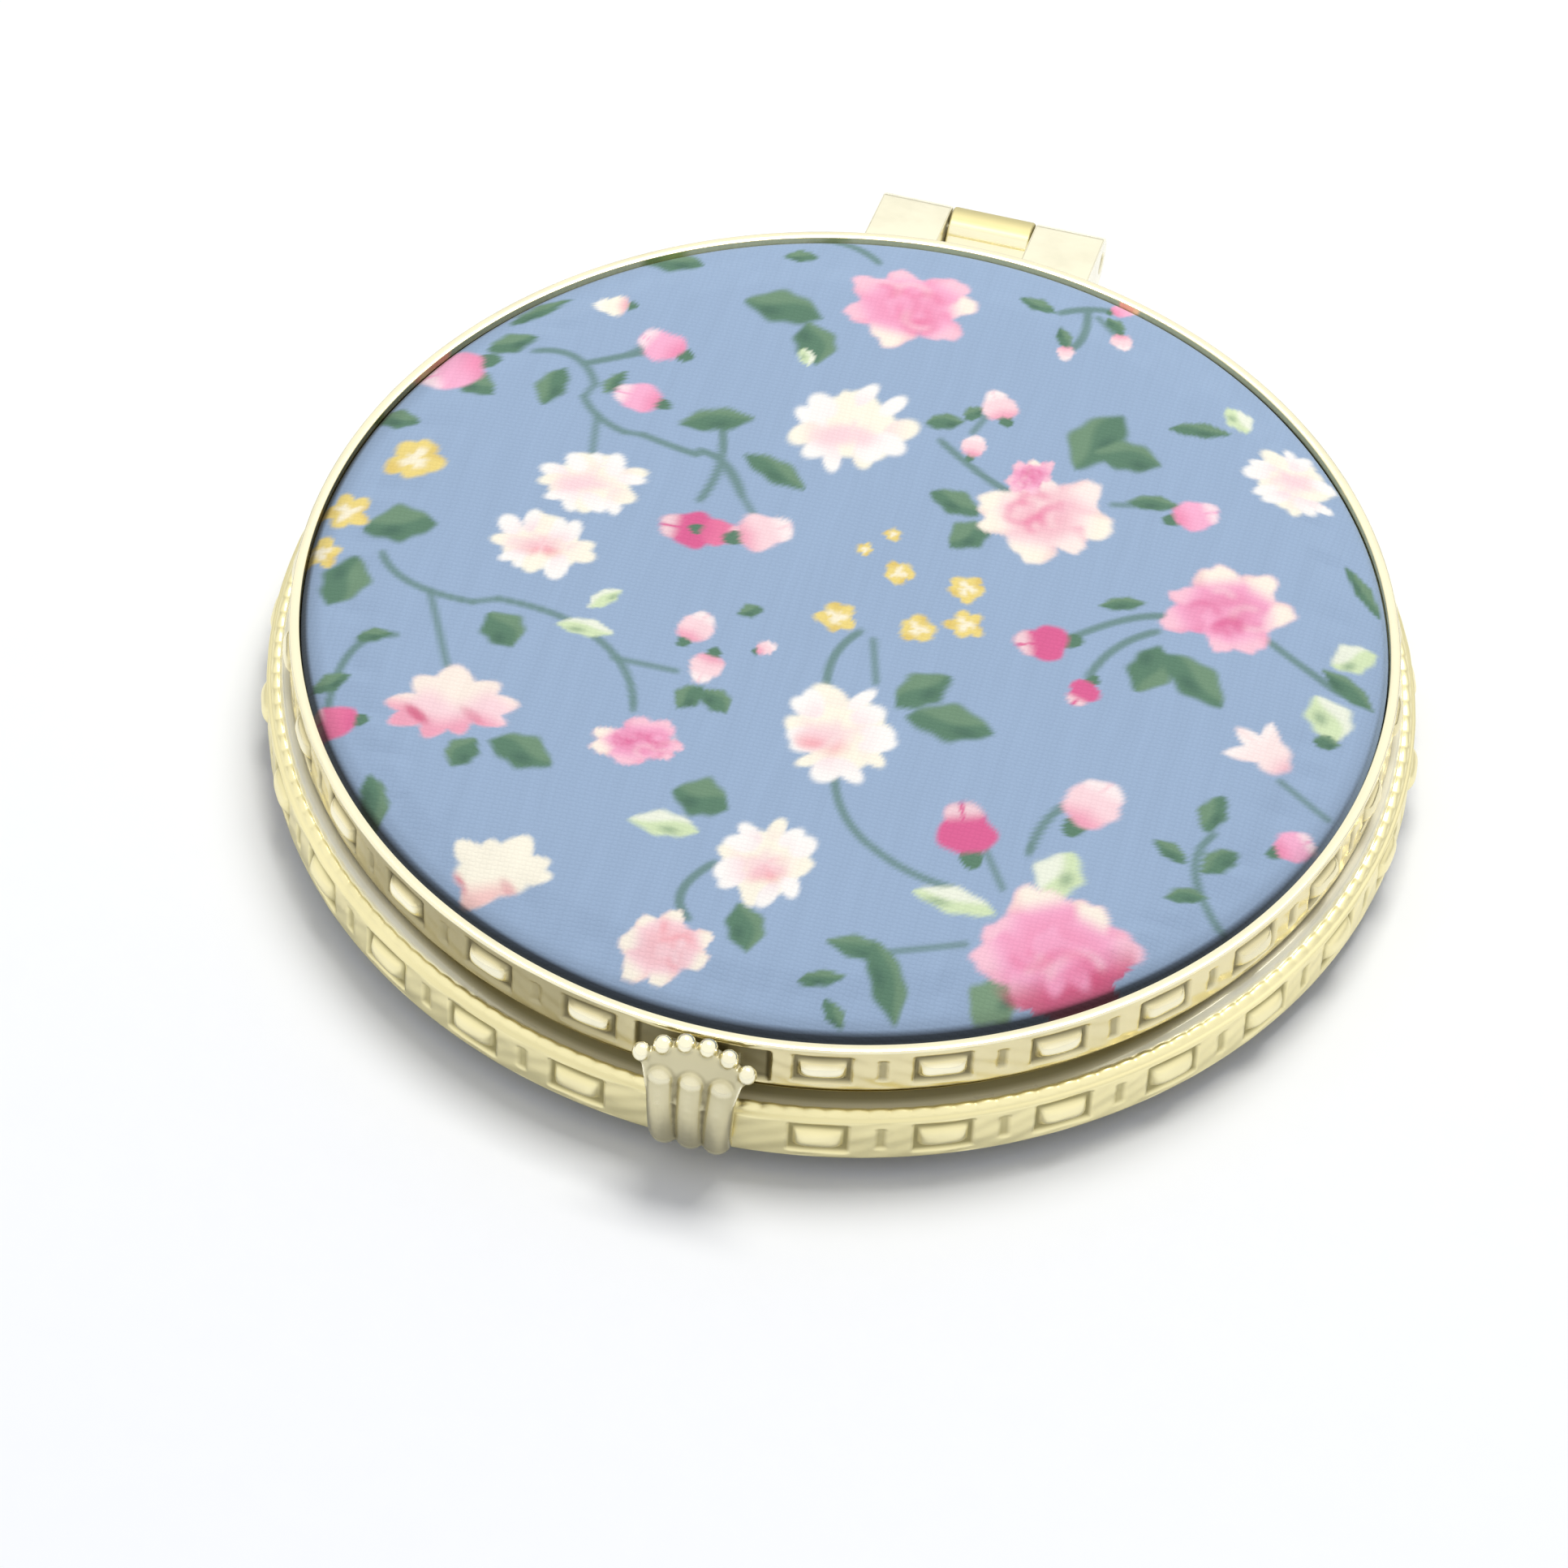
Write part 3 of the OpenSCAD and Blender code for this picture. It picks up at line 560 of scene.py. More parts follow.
def rose(on, x, y, r, squash, angle, light, deep, pale):
    """pale names the lobes with cream tips."""
    at, u, v, seed = on.turned(x, y, r, angle)
    chance = np.random.default_rng(seed)
    v = v / squash
    turn, reach = np.arctan2(v, u), np.hypot(u, v)
    on.lay(at, soft(0.62, 0.5, reach + 0.06 * wobble(turn, seed)), light)
    shaded = deep == "crimson"
    deep = "rose" if shaded else deep
    plump = 1.3 if shaded else 1.08
    for k in range(7):
        spin = (k + chance.uniform(-0.25, 0.25)) * 2 * math.pi / 7
        far, size = chance.uniform(0.5, 0.68), chance.uniform(0.22, 0.34)
        pu, pv = u - far * math.cos(spin), v - far * math.sin(spin)
        along = (pu * math.cos(spin) + pv * math.sin(spin)) / size
        across = (pv * math.cos(spin) - pu * math.sin(spin)) / size * np.clip(1 + 0.3 * along, 0.7, 1.5)
        uneven = 0.12 * wobble(np.arctan2(across, along), seed + k)
        lobe = soft(1.15, 0.82, np.hypot(along / 1.2, across / plump) + uneven)
        on.lay(at, lobe, light)
        on.lay(at, lobe * (0.9 if k in pale else 0.25) * soft(-0.4, 0.7, along), "cream")
        on.lay(at, lobe * 0.35 * soft(0.3, -0.9, along), deep)
        on.lay(at, lobe * 0.25 * soft(0.3, 0.9, across), deep)
    for k in range(9):
        cu, cv, size = chance.uniform(-0.4, 0.4), chance.uniform(-0.4, 0.4), chance.uniform(0.1, 0.28)
        way = np.arctan2(v - cv, u - cu) - chance.uniform(0, 2 * math.pi)
        fold = soft(0.12, 0.0, np.abs(np.hypot(u - cu, v - cv) - size)) * soft(-0.3, 0.6, np.cos(way))
        on.lay(at, 0.45 * fold * soft(0.8, 0.55, reach), deep if k % 3 else "blush")
    on.lay(at, 0.25 * soft(0.5, 0.1, reach), deep)
    if shaded:
        ring = soft(1.0, 0.85, reach) * soft(0.42, 0.62, reach + 0.08 * np.sin(9 * turn))
        crescent = ring * soft(0.1, 0.55, 0.45 * u - 0.89 * v)
        on.lay(at, 0.85 * crescent * (np.abs(on.dye[at] - BLUE).sum(1) > 0.2), "crimson")


print("roses:", len(ROSES))


# %% [markdown]
# Two flowers are seen from the side, as a fan of pale lobes over a deeper hem. Their fans are
# too uneven for one rule, so each lobe is listed with its direction, distance and size.

# %% Flowers from the side
BELLS = [
    (-23.6, -9.7, 4.1, 0, "blush", "rose",
     ((4, 0.68, 0.28), (40, 0.52, 0.3), (88, 0.52, 0.34), (132, 0.52, 0.3), (176, 0.66, 0.26),
      (206, 0.68, 0.24), (246, 0.5, 0.26), (284, 0.42, 0.24), (334, 0.62, 0.22))),
    (-20.2, -22.7, 3.9, -12, "cream", "coral",
     ((14, 0.66, 0.24), (36, 0.6, 0.28), (72, 0.68, 0.3), (104, 0.5, 0.26), (138, 0.64, 0.26),
      (250, 0.4, 0.32))),
]


def bell(on, x, y, r, angle, light, deep, lobes):
    at, u, v, seed = on.turned(x, y, r, angle)
    v = v * 1.2
    mask = soft(1.1, 0.85, np.hypot(u / 0.6, v / 0.42))
    for way, far, size in lobes:
        spin = math.radians(way)
        along = (u * math.cos(spin) + v * math.sin(spin) - far) / size
        across = (v * math.cos(spin) - u * math.sin(spin)) / size
        off = np.hypot(along / 1.25, across / 0.9 / np.clip(1 - 0.25 * along, 0.6, 1.2))
        mask = np.maximum(mask, soft(1.15, 0.8, off + 0.1 * wobble(np.arctan2(v, u), seed)))
    on.lay(at, mask, light)
    on.lay(at, mask * 0.7 * soft(-0.1, 0.45, v + 0.15 * np.sin(7 * u + seed)), "cream")
    on.lay(at, mask * 0.6 * soft(0.0, -0.5, v + 0.15 * np.cos(5 * u + seed) + 0.25 * u), deep)
    for side, weight in ((-0.5, 0.75), (0.32, 0.35)):
        slant = v + 0.22 + 0.9 * (u - side)
        on.lay(at, mask * weight * soft(1.3, 0.4, np.hypot((u - side) / 0.2, slant / 0.16)), "crimson")


print("flowers from the side:", len(BELLS))


# %% [markdown]
# Buds sit in a green cup, darker at the foot and white at the tip. The one in shell pink is half
# open, has no cup and spreads a fan of pointed petals. Sprigs are five-petalled specks of
# yellow with a cream eye.

# %% Buds and sprigs
BUDS = [
    (-15.9, 25.5, 1.2, 180, "cream"), (-12.6, 21.9, 1.7, 150, "pink"), (-13.8, 17.1, 1.6, 160, "pink"),
    (8.9, 18.1, 1.4, 110, "blush"), (7.4, 14.4, 1.0, 80, "blush"), (21.4, 9.7, 1.6, 20, "pink"),
    (12.1, -2.0, 1.8, 190, "magenta"), (14.6, -5.9, 1.2, 240, "magenta"),
    (7.8, -17.4, 2.2, 100, "magenta"), (15.4, -14.7, 2.2, 60, "blush"), (26.1, -9.8, 2.7, 135, "shell"),
    (-10.0, 5.8, 1.9, 170, "magenta"), (-8.1, 5.6, 1.4, 350, "rose"), (-5.4, 5.9, 1.9, 20, "blush"),
    (-9.1, -2.4, 1.4, 60, "blush"), (-8.4, -5.7, 1.3, 250, "blush"), (-4.8, -3.8, 0.7, 30, "blush"),
    (16.6, 25.0, 0.9, 280, "blush"), (13.0, 23.4, 0.7, 270, "blush"), (16.7, 28.5, 0.9, 30, "pink"),
    (-25.7, 19.4, 2.3, 200, "pink"), (-30.7, -10.8, 1.6, 180, "rose"), (27.6, -16.3, 1.4, 30, "pink"),
]
SPRIGS = [
    (-27.4, 11.0, 2.1), (-31.3, 6.6, 1.7), (-32.6, 3.1, 1.4), (3.1, 3.1, 1.1), (-0.6, -0.9, 1.4),
    (4.4, -1.5, 1.3), (7.3, 2.1, 1.3), (7.3, -0.9, 1.3), (2.6, 6.3, 0.6), (0.9, 4.9, 0.6),
]


def bud(on, x, y, r, angle, ink):
    at, u, v, seed = on.turned(x, y, r, angle, 1.8)
    turn, reach = np.arctan2(v, u), np.hypot(u, v * 1.15)
    if ink == "shell":
        from_axis = np.abs((turn / 0.8 + 0.5) % 1 - 0.5) * 2
        edge = 0.5 + (0.6 - 0.5 * from_axis) * soft(1.35, 1.15, np.abs(turn)) + 0.05 * wobble(turn, seed)
    else:
        on.lay(at, soft(0.1, -0.1, np.hypot((u + 0.95) / 0.45, v / 0.32) - 1), "dark")
        edge = 0.78 + 0.16 * np.abs(np.cos(1.5 * turn + 0.2)) + 0.07 * wobble(turn, seed)
    mask = soft(0.12, -0.1, reach - edge)
    deep = "rose" if ink in ("blush", "pink", "cream", "shell") else "magenta"
    on.lay(at, mask, ink)
    on.lay(at, mask * 0.65 * soft(0.1, -0.8, u + 0.3 * np.abs(v)), deep)
    on.lay(at, mask * 0.6 * soft(0.2, 0.7, u) * soft(0.1, 0.4, np.abs(np.sin(3 * turn))), "white")


def sprig(on, x, y, r):
    at, u, v, seed = on.turned(x, y, r, 0, 1.6)
    turn, reach = np.arctan2(v, u), np.hypot(u, v)
    edge = 0.62 + 0.28 * np.abs(np.cos(2.5 * turn + seed)) + 0.1 * wobble(turn, seed)
    mask = soft(0.12, -0.08, reach - edge)
    on.lay(at, mask, "gold")
    on.lay(at, mask * 0.8 * soft(0.5, 0.2, reach + 0.2 * wobble(turn, seed + 3)), "cream")
    on.lay(at, mask * 0.6 * soft(0.2, 0.7, np.sin(turn * 2 + seed) * reach), "ochre")


print("buds:", len(BUDS), "and sprigs:", len(SPRIGS))

# %% The whole print
MOTIFS = ((stem, STEMS), (leaf, LEAVES), (daisy, DAISIES), (rose, ROSES), (bell, BELLS), (bud, BUDS),
          (sprig, SPRIGS))


def printed(x, y):
    """The print's colour at each place of a cover."""
    on = Print(x, y)
    for draw, rows in MOTIFS:
        for row in rows:
            draw(on, *row)
    return on.dye


print("dye in the middle of a cover:", printed(np.zeros(1), np.zeros(1)).round(2))


# %% [markdown]
# The padded covers. The real ones are a circle of cotton drawn over foam and glued under a
# stiff board, so the cloth is tight, domes a little and dives steeply into its well. A formula
# alone gives a dome without life, and a simulation fine enough for the print would take minutes.
# So a coarse net of cloth is blown up over the foam's crown, held at its edge, and its height
# then shapes a fine net that carries the print. The coarse net is made 20 times larger, because
# Blender's cloth works best on things about a metre wide.

# %% Shape of the foam and the net
FULLNESS = 2.7


def disc_net(n):
    """n by n points spread evenly over a disc of radius 1, with square-ish cells all over."""
    a = np.linspace(-1, 1, n)
    u, v = np.meshgrid(a, a, indexing="ij")
    r = np.maximum(np.abs(u), np.abs(v))
    wide = np.abs(u) >= np.abs(v)
    with np.errstate(divide="ignore", invalid="ignore"):
        turn = np.where(wide, np.where(u >= 0, 0, np.pi) + v / np.where(u == 0, 1, u) * np.pi / 4,
                        np.where(v >= 0, np.pi / 2, -np.pi / 2) - u / np.where(v == 0, 1, v) * np.pi / 4)
    return r * np.cos(turn), r * np.sin(turn)


def dome(share, height):
    """Height of the foam's crown at a share of its radius. A fullness of 2 is an ellipse."""
    return height * np.clip(1 - np.clip(share, 0, 1) ** FULLNESS, 0, 1) ** (1 / FULLNESS)


print("crown half-way out:", round(float(dome(0.5, LID_CROWN)), 2), "of", LID_CROWN, "mm")


# %% Blown-up cloth
NET, LARGER, LAST_FRAME = 45, 20, 20


def cloth_rise():
    """Blows a held disc of cloth over the crown and returns how far it rises from the dome."""
    x, y = disc_net(NET)
    z = dome(np.hypot(x, y), LID_CROWN + SHOULDER) * 0.985
    points = np.stack([x * COVER_R, y * COVER_R, z], -1).reshape(-1, 3) * MM * LARGER
    net = mesh_piece("cloth_net", points, net_quads(NET))
    held = net.vertex_groups.new(name="held")
    edge = [int(k) for k in np.nonzero(np.hypot(x, y).ravel() > 0.955)[0]]
    held.add(edge, 1.0, "REPLACE")
    stretched = net.modifiers.new("cloth", "CLOTH")
    stuff = stretched.settings
    stuff.vertex_group_mass = "held"
    stuff.quality = 8
    stuff.mass = 0.2
    stuff.tension_stiffness = 60
    stuff.compression_stiffness = 60
    stuff.shear_stiffness = 25
    stuff.bending_stiffness = 2
    stuff.use_pressure = True
    stuff.uniform_pressure_force = 4.0
    stuff.shrink_min = -0.004
    stuff.effector_weights.gravity = 0.0
    stretched.collision_settings.use_collision = False
    stretched.point_cache.frame_start = 1
    stretched.point_cache.frame_end = LAST_FRAME
    for number in range(1, LAST_FRAME + 1):
        scene.frame_set(number)
    settled = net.evaluated_get(bpy.context.evaluated_depsgraph_get())
    height = np.empty(len(settled.data.vertices) * 3)
    settled.data.vertices.foreach_get("co", height)
    height = height.reshape(NET, NET, 3)[..., 2] / MM / LARGER
    scene.frame_set(1)
    bpy.data.objects.remove(net)
    rise = height - z
    print("cloth moved by", round(float(rise.min()), 3), "to", round(float(rise.max()), 3), "mm")
    return np.clip(rise, -0.06, 0.22)


def resample(coarse, n):
    """An m by m net of values, read off at n by n points."""
    m = len(coarse)
    at = np.linspace(0, m - 1, n)
    low = np.minimum(at.astype(int), m - 2)
    part = at - low
    rows = coarse[low] * (1 - part)[:, None] + coarse[low + 1] * part[:, None]
    return rows[:, low] * (1 - part) + rows[:, low + 1] * part


# %% Covers
HEM = 3.0


def net_edge(n):
    """The outermost points of a net, once around."""
    k, last = np.arange(n - 1), n - 1
    return np.concatenate([k * n, last * n + k, (last - k) * n + last, last - k])


def rim_ring_shade(dye, x, y):
    """Paints shade into the dye: a dark ring along the rim where the cloth dips into its well, widest at
    the front and fading out towards the back.
    """
    edge, way = np.hypot(x, y) / COVER_R, np.arctan2(y, x)
    start = 0.984 - 0.012 * np.clip(np.cos(way + math.radians(80)), 0, 1) ** 2
    dark = 0.2 * soft(-0.03, 0.0, edge - start) + 0.72 * soft(0, 0.012, edge - start)
    return dye * (1 - dark * soft(-0.8, 0.3, np.cos(way + math.radians(110))))[:, None]


def cover(name, h, crown, n, into, press=0.0, rise=None):
    """A closed cotton cover: fine net on top, side, hem under the board and the cloth's inside."""
    x, y = disc_net(n)
    share = np.hypot(x, y)
    full = crown + SHOULDER
    top = dome(share, full)
    if rise is not None:
        top = top + resample(rise, n) * soft(1.0, 0.97, share)
    if press:
        top = np.minimum(top, full - press)
    foot, low, inside = h - SHOULDER, h - WELL, COVER_R - CLOTH_T
    rings = [(COVER_R, low + 0.3), (COVER_R - 0.08, low), (COVER_R - HEM, low),
             (COVER_R - HEM, low + CLOTH_T), (inside, low + CLOTH_T), (inside, foot)]
    for r in [inside * s for s in (0.985, 0.95, 0.88, 0.7, 0.4, 0.02)]:
        z = float(dome(np.array(r / inside), full - CLOTH_T))
        rings.append((r, foot + min(z, full - CLOTH_T - press)))
    edge = net_edge(n)
    around = len(edge)
    turn = np.arctan2(y.ravel()[edge], x.ravel()[edge])
    points = [np.stack([x * COVER_R, y * COVER_R, foot + top], -1).reshape(-1, 3)]
    points += [np.stack([r * np.cos(turn), r * np.sin(turn), np.full(around, z)], -1) for r, z in rings]
    points = np.concatenate(points)
    first = n * n + np.arange(around)
    skirt = np.stack([edge, np.roll(edge, -1), np.roll(first, -1), first], -1)
    quads = np.concatenate([net_quads(n), skirt, ring_quads(len(rings), around, False)[:, ::-1] + n * n])
    spread = np.where(np.arange(len(points)) < n * n, 1.0, 1.02)
    uv = 0.5 + points[:, :2] / COVER_R * 0.49 * spread[:, None]
    piece = mesh_piece(name, into(points), quads, flip=into is in_base, uv=uv[quads])
    dye = printed(points[:, 0], points[:, 1] if into is in_lid else -points[:, 1])
    # Painted shade: a dark ring along the rim, stored with the print
    point_colour(piece, "print", rim_ring_shade(dye, points[:, 0], points[:, 1]))
    piece.data.materials.append(cloth)
    return piece


rise = cloth_rise()
lid_cover = cover("lid_cloth", LID_H, LID_CROWN, 286, in_lid, rise=rise)
base_cover = cover("base_cloth", BASE_H, BASE_CROWN, 180, in_base, press=BASE_FLAT)
for piece, body, node in ((lid_cover, "lid", "lid_cover"), (base_cover, "base", "base_cover")):
    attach(piece, body)
    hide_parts(node)
print("covers:", len(lid_cover.data.polygons), "and", len(base_cover.data.polygons), "faces")

# %% [markdown]
# The foam under each cover. It is never seen in the finished case, but it is what gives the
# cloth its crown. Open-cell foam is made from soap-like bubbles. A Voronoi texture has just
# such cells, so it colours the foam and gives it relief, and no bubble has to be modelled.

# %% Foam pads
foam, tree, shader = material("foam")
bubbles = put(tree, "TexVoronoi", {"Vector": own_place(tree), "Scale": 1800.0}).outputs["Distance"]
walls = blend(tree, ramp(tree, bubbles, 0.15, 0.6), rgba((214, 210, 196)), rgba((246, 244, 236)))
feed(tree, shader, {"Base Color": walls, "Roughness": 0.95})
relief(tree, shader, bubbles, 0.6, 0.1)


def pad(name, h, crown, into, press=0.0):
    """A round of foam that fills its cover. press flattens its crown by so much."""
    around = 96
    full = crown + SHOULDER - CLOTH_T
    shares = np.array([0.02, 0.2, 0.4, 0.55, 0.7, 0.8, 0.88, 0.94, 0.97, 0.99])
    floor = h - WELL + CLOTH_T + 0.8
    z = np.maximum(h - SHOULDER + np.minimum(dome(shares, full), full - press), floor)
    r, z = np.append(shares * (COVER_R - CLOTH_T), [0.66]), np.append(z, [floor])
    turn = np.linspace(0, 2 * np.pi, around, endpoint=False)
    x, y = np.outer(r, np.cos(turn)), np.outer(r, np.sin(turn))
    points = np.stack([x, y, np.repeat(z[:, None], around, 1)], -1).reshape(-1, 3)
    piece = mesh_piece(name, into(points), ring_quads(len(r), around, True), flip=into is in_base)
    piece.data.materials.append(foam)
    return piece


lid_pad = pad("lid_foam", LID_H, LID_CROWN, in_lid)
base_pad = pad("base_foam", BASE_H, BASE_CROWN, in_base, press=BASE_FLAT)
for piece, body, node in ((lid_pad, "lid", "lid_pad"), (base_pad, "base", "base_pad")):
    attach(piece, body)
    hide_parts(node)
print("pads:", len(lid_pad.data.polygons), "faces each")

# %% [markdown]
# The embossed rims. The real ones are cast in a mould whose band was pressed with a running
# figure: a long pillow in a groove, a plain land, a short slot, and so on thirty times round.
# The pillows and slots could be joined to a ring one by one. A lathe profile spun with points
# every 0.15 mm is simpler, and the figure just pushes those points in or out.

# %% Running figure
AROUND = 1440
# How far a pillow rises out of its pocket, and how deep pockets and slots are
PILLOW, POCKET, SLOT = 0.62, 0.25, 0.16


def clear_of(turn, r, half, hinge_half):
    """Whether a figure of this half-length is clear of the hinge behind and the clasp in front."""
    behind = math.sin(turn) > 0
    return abs(r * math.cos(turn)) > half + (hinge_half if behind else CLASP_HALF)


def figure(r, h, hinge_half, turn, z):
    """How far the band stands out at each place, pillows out, grooves and slots in, and the polish and
    painted highlight on each pillow's crown.
    """
    push, polish_and_highlight = np.zeros_like(z), np.zeros_like(z)
    step = 2 * np.pi / REPEATS
    from_edge = np.minimum(z, h - z)
    for k in range(REPEATS):
        middle = k * step - np.pi / 2
        off = np.abs((turn - middle + np.pi) % (2 * np.pi) - np.pi) * r
        if clear_of(middle, r, 1.75, hinge_half):
            at = off < 2.2
            u, v = off[at] / 1.47, (z[at] - h / 2) / (h / 2 - BORDER - 0.42)
            pocket = soft(1.83, 1.7, off[at]) * soft(BORDER - 0.08, BORDER + 0.06, from_edge[at])
            pillow = np.clip(1 - u ** 4, 0, 1) ** 0.5 * np.clip(1 - np.abs(v) ** 2.2, 0, 1) ** 0.6
            push[at] += PILLOW * pillow - POCKET * pocket
            # Painted highlight, with polish, on each pillow's crown
            polish_and_highlight[at] = soft(0.5, 0.85, pillow)
        other = middle + step / 2
        if clear_of(other, r, 0.35, hinge_half):
            off = np.abs((turn - other + np.pi) % (2 * np.pi) - np.pi) * r
            push -= SLOT * soft(0.36, 0.2, off) * soft(BORDER + 0.2, BORDER + 0.4, from_edge)
    return push, polish_and_highlight


# %% Profile and layout of a rim
STRIPS = 16


def rim_outline(r, h, of_base):
    """A rim's cross-section, once around, and its rows on the band, its rounding and its face."""
    band = np.linspace(0.36 if of_base else 0.16, h - 0.15, int(h / 0.115))
    arc = np.radians(np.arange(18, 91, 18))
    face = np.linspace(r - 0.06, SEAT_R + 0.12, 4)
    if of_base:
        # The rows lie close together under the rib and wide apart inside it
        face = np.concatenate([np.linspace(r - 0.06, r - 1.0, 16), np.linspace(r - 1.2, SEAT_R + 0.12, 5)])
    rows = [(r, z) for z in band]
    rows += [(r - 0.15 + 0.15 * math.cos(a), h - 0.15 + 0.15 * math.sin(a)) for a in arc]
    rows += [(WELL_R + 0.06, h), (WELL_R + 0.015, h - 0.02), (WELL_R, h - 0.06), (WELL_R, h - WELL),
             (SHELF_R, h - WELL), (SHELF_R, SEAT), (SEAT_R, SEAT), (SEAT_R, 0.06), (SEAT_R + 0.05, 0)]
    rows += [(a, 0) for a in face[::-1]] + [(r - 0.02, 0.02 if of_base else 0.06)]
    return np.array(rows), len(band), len(arc), len(face)


def strip_uv(n):
    """Lays a spun mesh of n rows out in strips, so that its finish can be baked."""
    cell = np.stack(np.meshgrid(np.arange(n), np.arange(AROUND), indexing="ij"), -1).reshape(-1, 2)
    at = cell[:, None, :] + np.array([[1, 0], [1, 1], [0, 1], [0, 0]])[None]
    wide = AROUND // STRIPS
    strip = (cell[:, 1] // wide)[:, None]
    return np.stack([(at[..., 1] - strip * wide) / wide * 0.996 + 0.002,
                     (strip + at[..., 0] / n * 0.96 + 0.02) / STRIPS], -1)


# %% [markdown]
# The rims differ in wear and in painted light. Just left of the clasp the lid's ground gets
# painted shade and its pillows a painted highlight. Its grooves are painted darker towards the
# back left and its band lighter towards the front right, as painted shade and light. The base's
# ledge is matt, with a knurled rib that shows as a row of bright grains. Inside the rib it gets a
# painted highlight, and at the front painted shade under the lid's edge.

# %% Wear, painted light and ledge
GRAINS, SWELL = 172, 0.7


def lid_dust_and_light(push, polish_and_highlight, around, on_band):
    """The lid's dust and painted shade, and its polish and painted highlight, from how far its band stands
    out and where round the rim it lies.
    """
    # Painted shade and light: grooves darker towards the back left, band lighter towards the front right
    left = 0.5 - 0.5 * np.cos(around + 0.6)
    groove = np.clip(-push / 0.24, 0, 1) * (0.75 + 0.25 * left)
    polish_and_highlight = polish_and_highlight + 0.15 * (1 - left) * on_band
    # Painted shade on the ground and painted highlight on the pillows, just left of the clasp at the front
    shade_and_glint = soft(0.9, 0.98, np.cos(around + 2.05)) * on_band
    groove = np.maximum(groove, 0.5 * shade_and_glint * soft(0.08, 0.0, push))
    return groove, np.maximum(polish_and_highlight, shade_and_glint * soft(0.12, 0.25, push))


def ledge(r, radius, z, around, on_face, groove, polish_and_highlight):
    """The base's upper face, which falls a little to its edge and carries a fine, knurled rib, with its
    matt share, painted shade and painted highlight.
    """
    phase = (around * GRAINS / (2 * np.pi)) % 1 - 0.5
    rib = np.clip(1 - ((radius - r + 0.6) / 0.32) ** 2, 0, 1) ** 0.5 * (1 - 2.2 * phase ** 2)
    z = z + (0.3 * np.clip((radius - r + 0.9) / 0.9, 0, 1) ** 2 - 0.24 * rib) * on_face
    # Away from the clasp the face swells up under the lid, and the gap narrows to a thin line
    swell = soft(r - 0.8, r - 1.05, radius) * soft(SEAT_R + 0.1, SEAT_R + 0.5, radius)
    z = z - SWELL * swell * soft(0.93, 0.67, np.cos(around + 1.4)) * on_face
    # Inside the rib the plating is matt with a painted highlight. At the front it gets painted shade
    # instead, under the lid's edge and faintly between the rib's grains
    inner = on_face * soft(r - 0.75, r - 0.95, radius)
    under_lid_shade = soft(0.62, 0.86, np.cos(around + 1.4)) * on_face
    groove = np.maximum(groove, under_lid_shade * 0.25 * soft(0.5, 0.1, rib))
    groove = np.maximum(groove, under_lid_shade * soft(r - 1.25, r - 1.55, radius))
    return z, groove, np.maximum(polish_and_highlight, inner * (1 - groove)), 0.9 * inner


# %% Rims
def rim(name, r, h, hinge_half, into):
    """A spun rim with its embossed band, and its wear stored at each point."""
    of_base = into is in_base
    profile, band, arc, face = rim_outline(r, h, of_base)
    n = len(profile)
    turn = np.arange(AROUND) * 2 * np.pi / AROUND - np.pi / 2
    radius = np.repeat(profile[:, :1], AROUND, 1)
    z = np.repeat(profile[:, 1:], AROUND, 1)
    around = np.repeat(turn[None], n, 0)
    on_band = np.arange(n)[:, None] < band
    on_face = np.arange(n)[:, None] >= n - face - 1
    push, polish_and_highlight = figure(r, h, hinge_half, around, z)
    # Painted highlight on the lid's pillows, strongest at the front a little to the left and faintest at
    # the back
    pillow_glint = 0.12 if of_base else np.clip(0.3 + 0.6 * np.cos(around + 1.9), 0.15, 0.85)
    push, polish_and_highlight = push * on_band, polish_and_highlight * on_band * pillow_glint
    # Painted highlight along the rounded top edge
    polish_and_highlight[band:band + arc + 1] = 0.8
    if not of_base:
        # The lid's band is sunk behind the clasp
        sunk = 0.35 * soft(4.1, 3.95, np.abs(r * np.cos(around))) * soft(0.24, 0.36, z)
        push -= sunk * soft(h - 0.44, h - 0.56, z) * ((np.sin(around) < 0) & on_band)
    # No casting is quite even, so three small waves run round the band
    hand = 0.012 * (np.sin(17 * around + 3 * z) + np.sin(41 * around - 2 * z) + np.sin(73 * around + 5 * z))
    radius = radius + push + hand * on_band
    matt = np.zeros_like(z)
    if of_base:
        # Pockets and slots are darkened by their depth, as dust and painted shade
        groove = np.clip(-push / 0.24, 0, 1) * 0.95
        z, groove, polish_and_highlight, matt = ledge(r, radius, z, around, on_face, groove, polish_and_highlight)
    else:
        groove, polish_and_highlight = lid_dust_and_light(push, polish_and_highlight, around, on_band)
    points = np.stack([radius * np.cos(around), radius * np.sin(around), z], -1).reshape(-1, 3)
    quads = ring_quads(n, AROUND, True)[:, ::-1]
    piece = mesh_piece(name, into(points), quads, flip=of_base, uv=strip_uv(n))
    for label, values in (("groove", groove), ("polish_and_highlight", polish_and_highlight), ("matt", matt)):
        point_value(piece, label, values)
    piece.data.materials.append(base_gold if of_base else rim_gold)
    return piece


lid_rim = rim("lid_band", LID_R, LID_H, ARM_OUT, in_lid)
base_rim = rim("base_band", BASE_R, BASE_H, BARREL_HALF, in_base)
for piece, body, node in ((lid_rim, "lid", "lid_rim"), (base_rim, "base", "base_rim")):
    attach(piece, body)
    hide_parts(node)
print("rims:", len(lid_rim.data.polygons), "and", len(base_rim.data.polygons), "faces")

# %% [markdown]
# Knuckles, lugs and the catch are cast in one with the rims. They could be cut from cylinders
# and cubes, but a side outline drawn out along the hinge line, and bored for its pin, keeps the
# arm's tangent run into its barrel exact. A small bevel gives the rounding that a casting has.

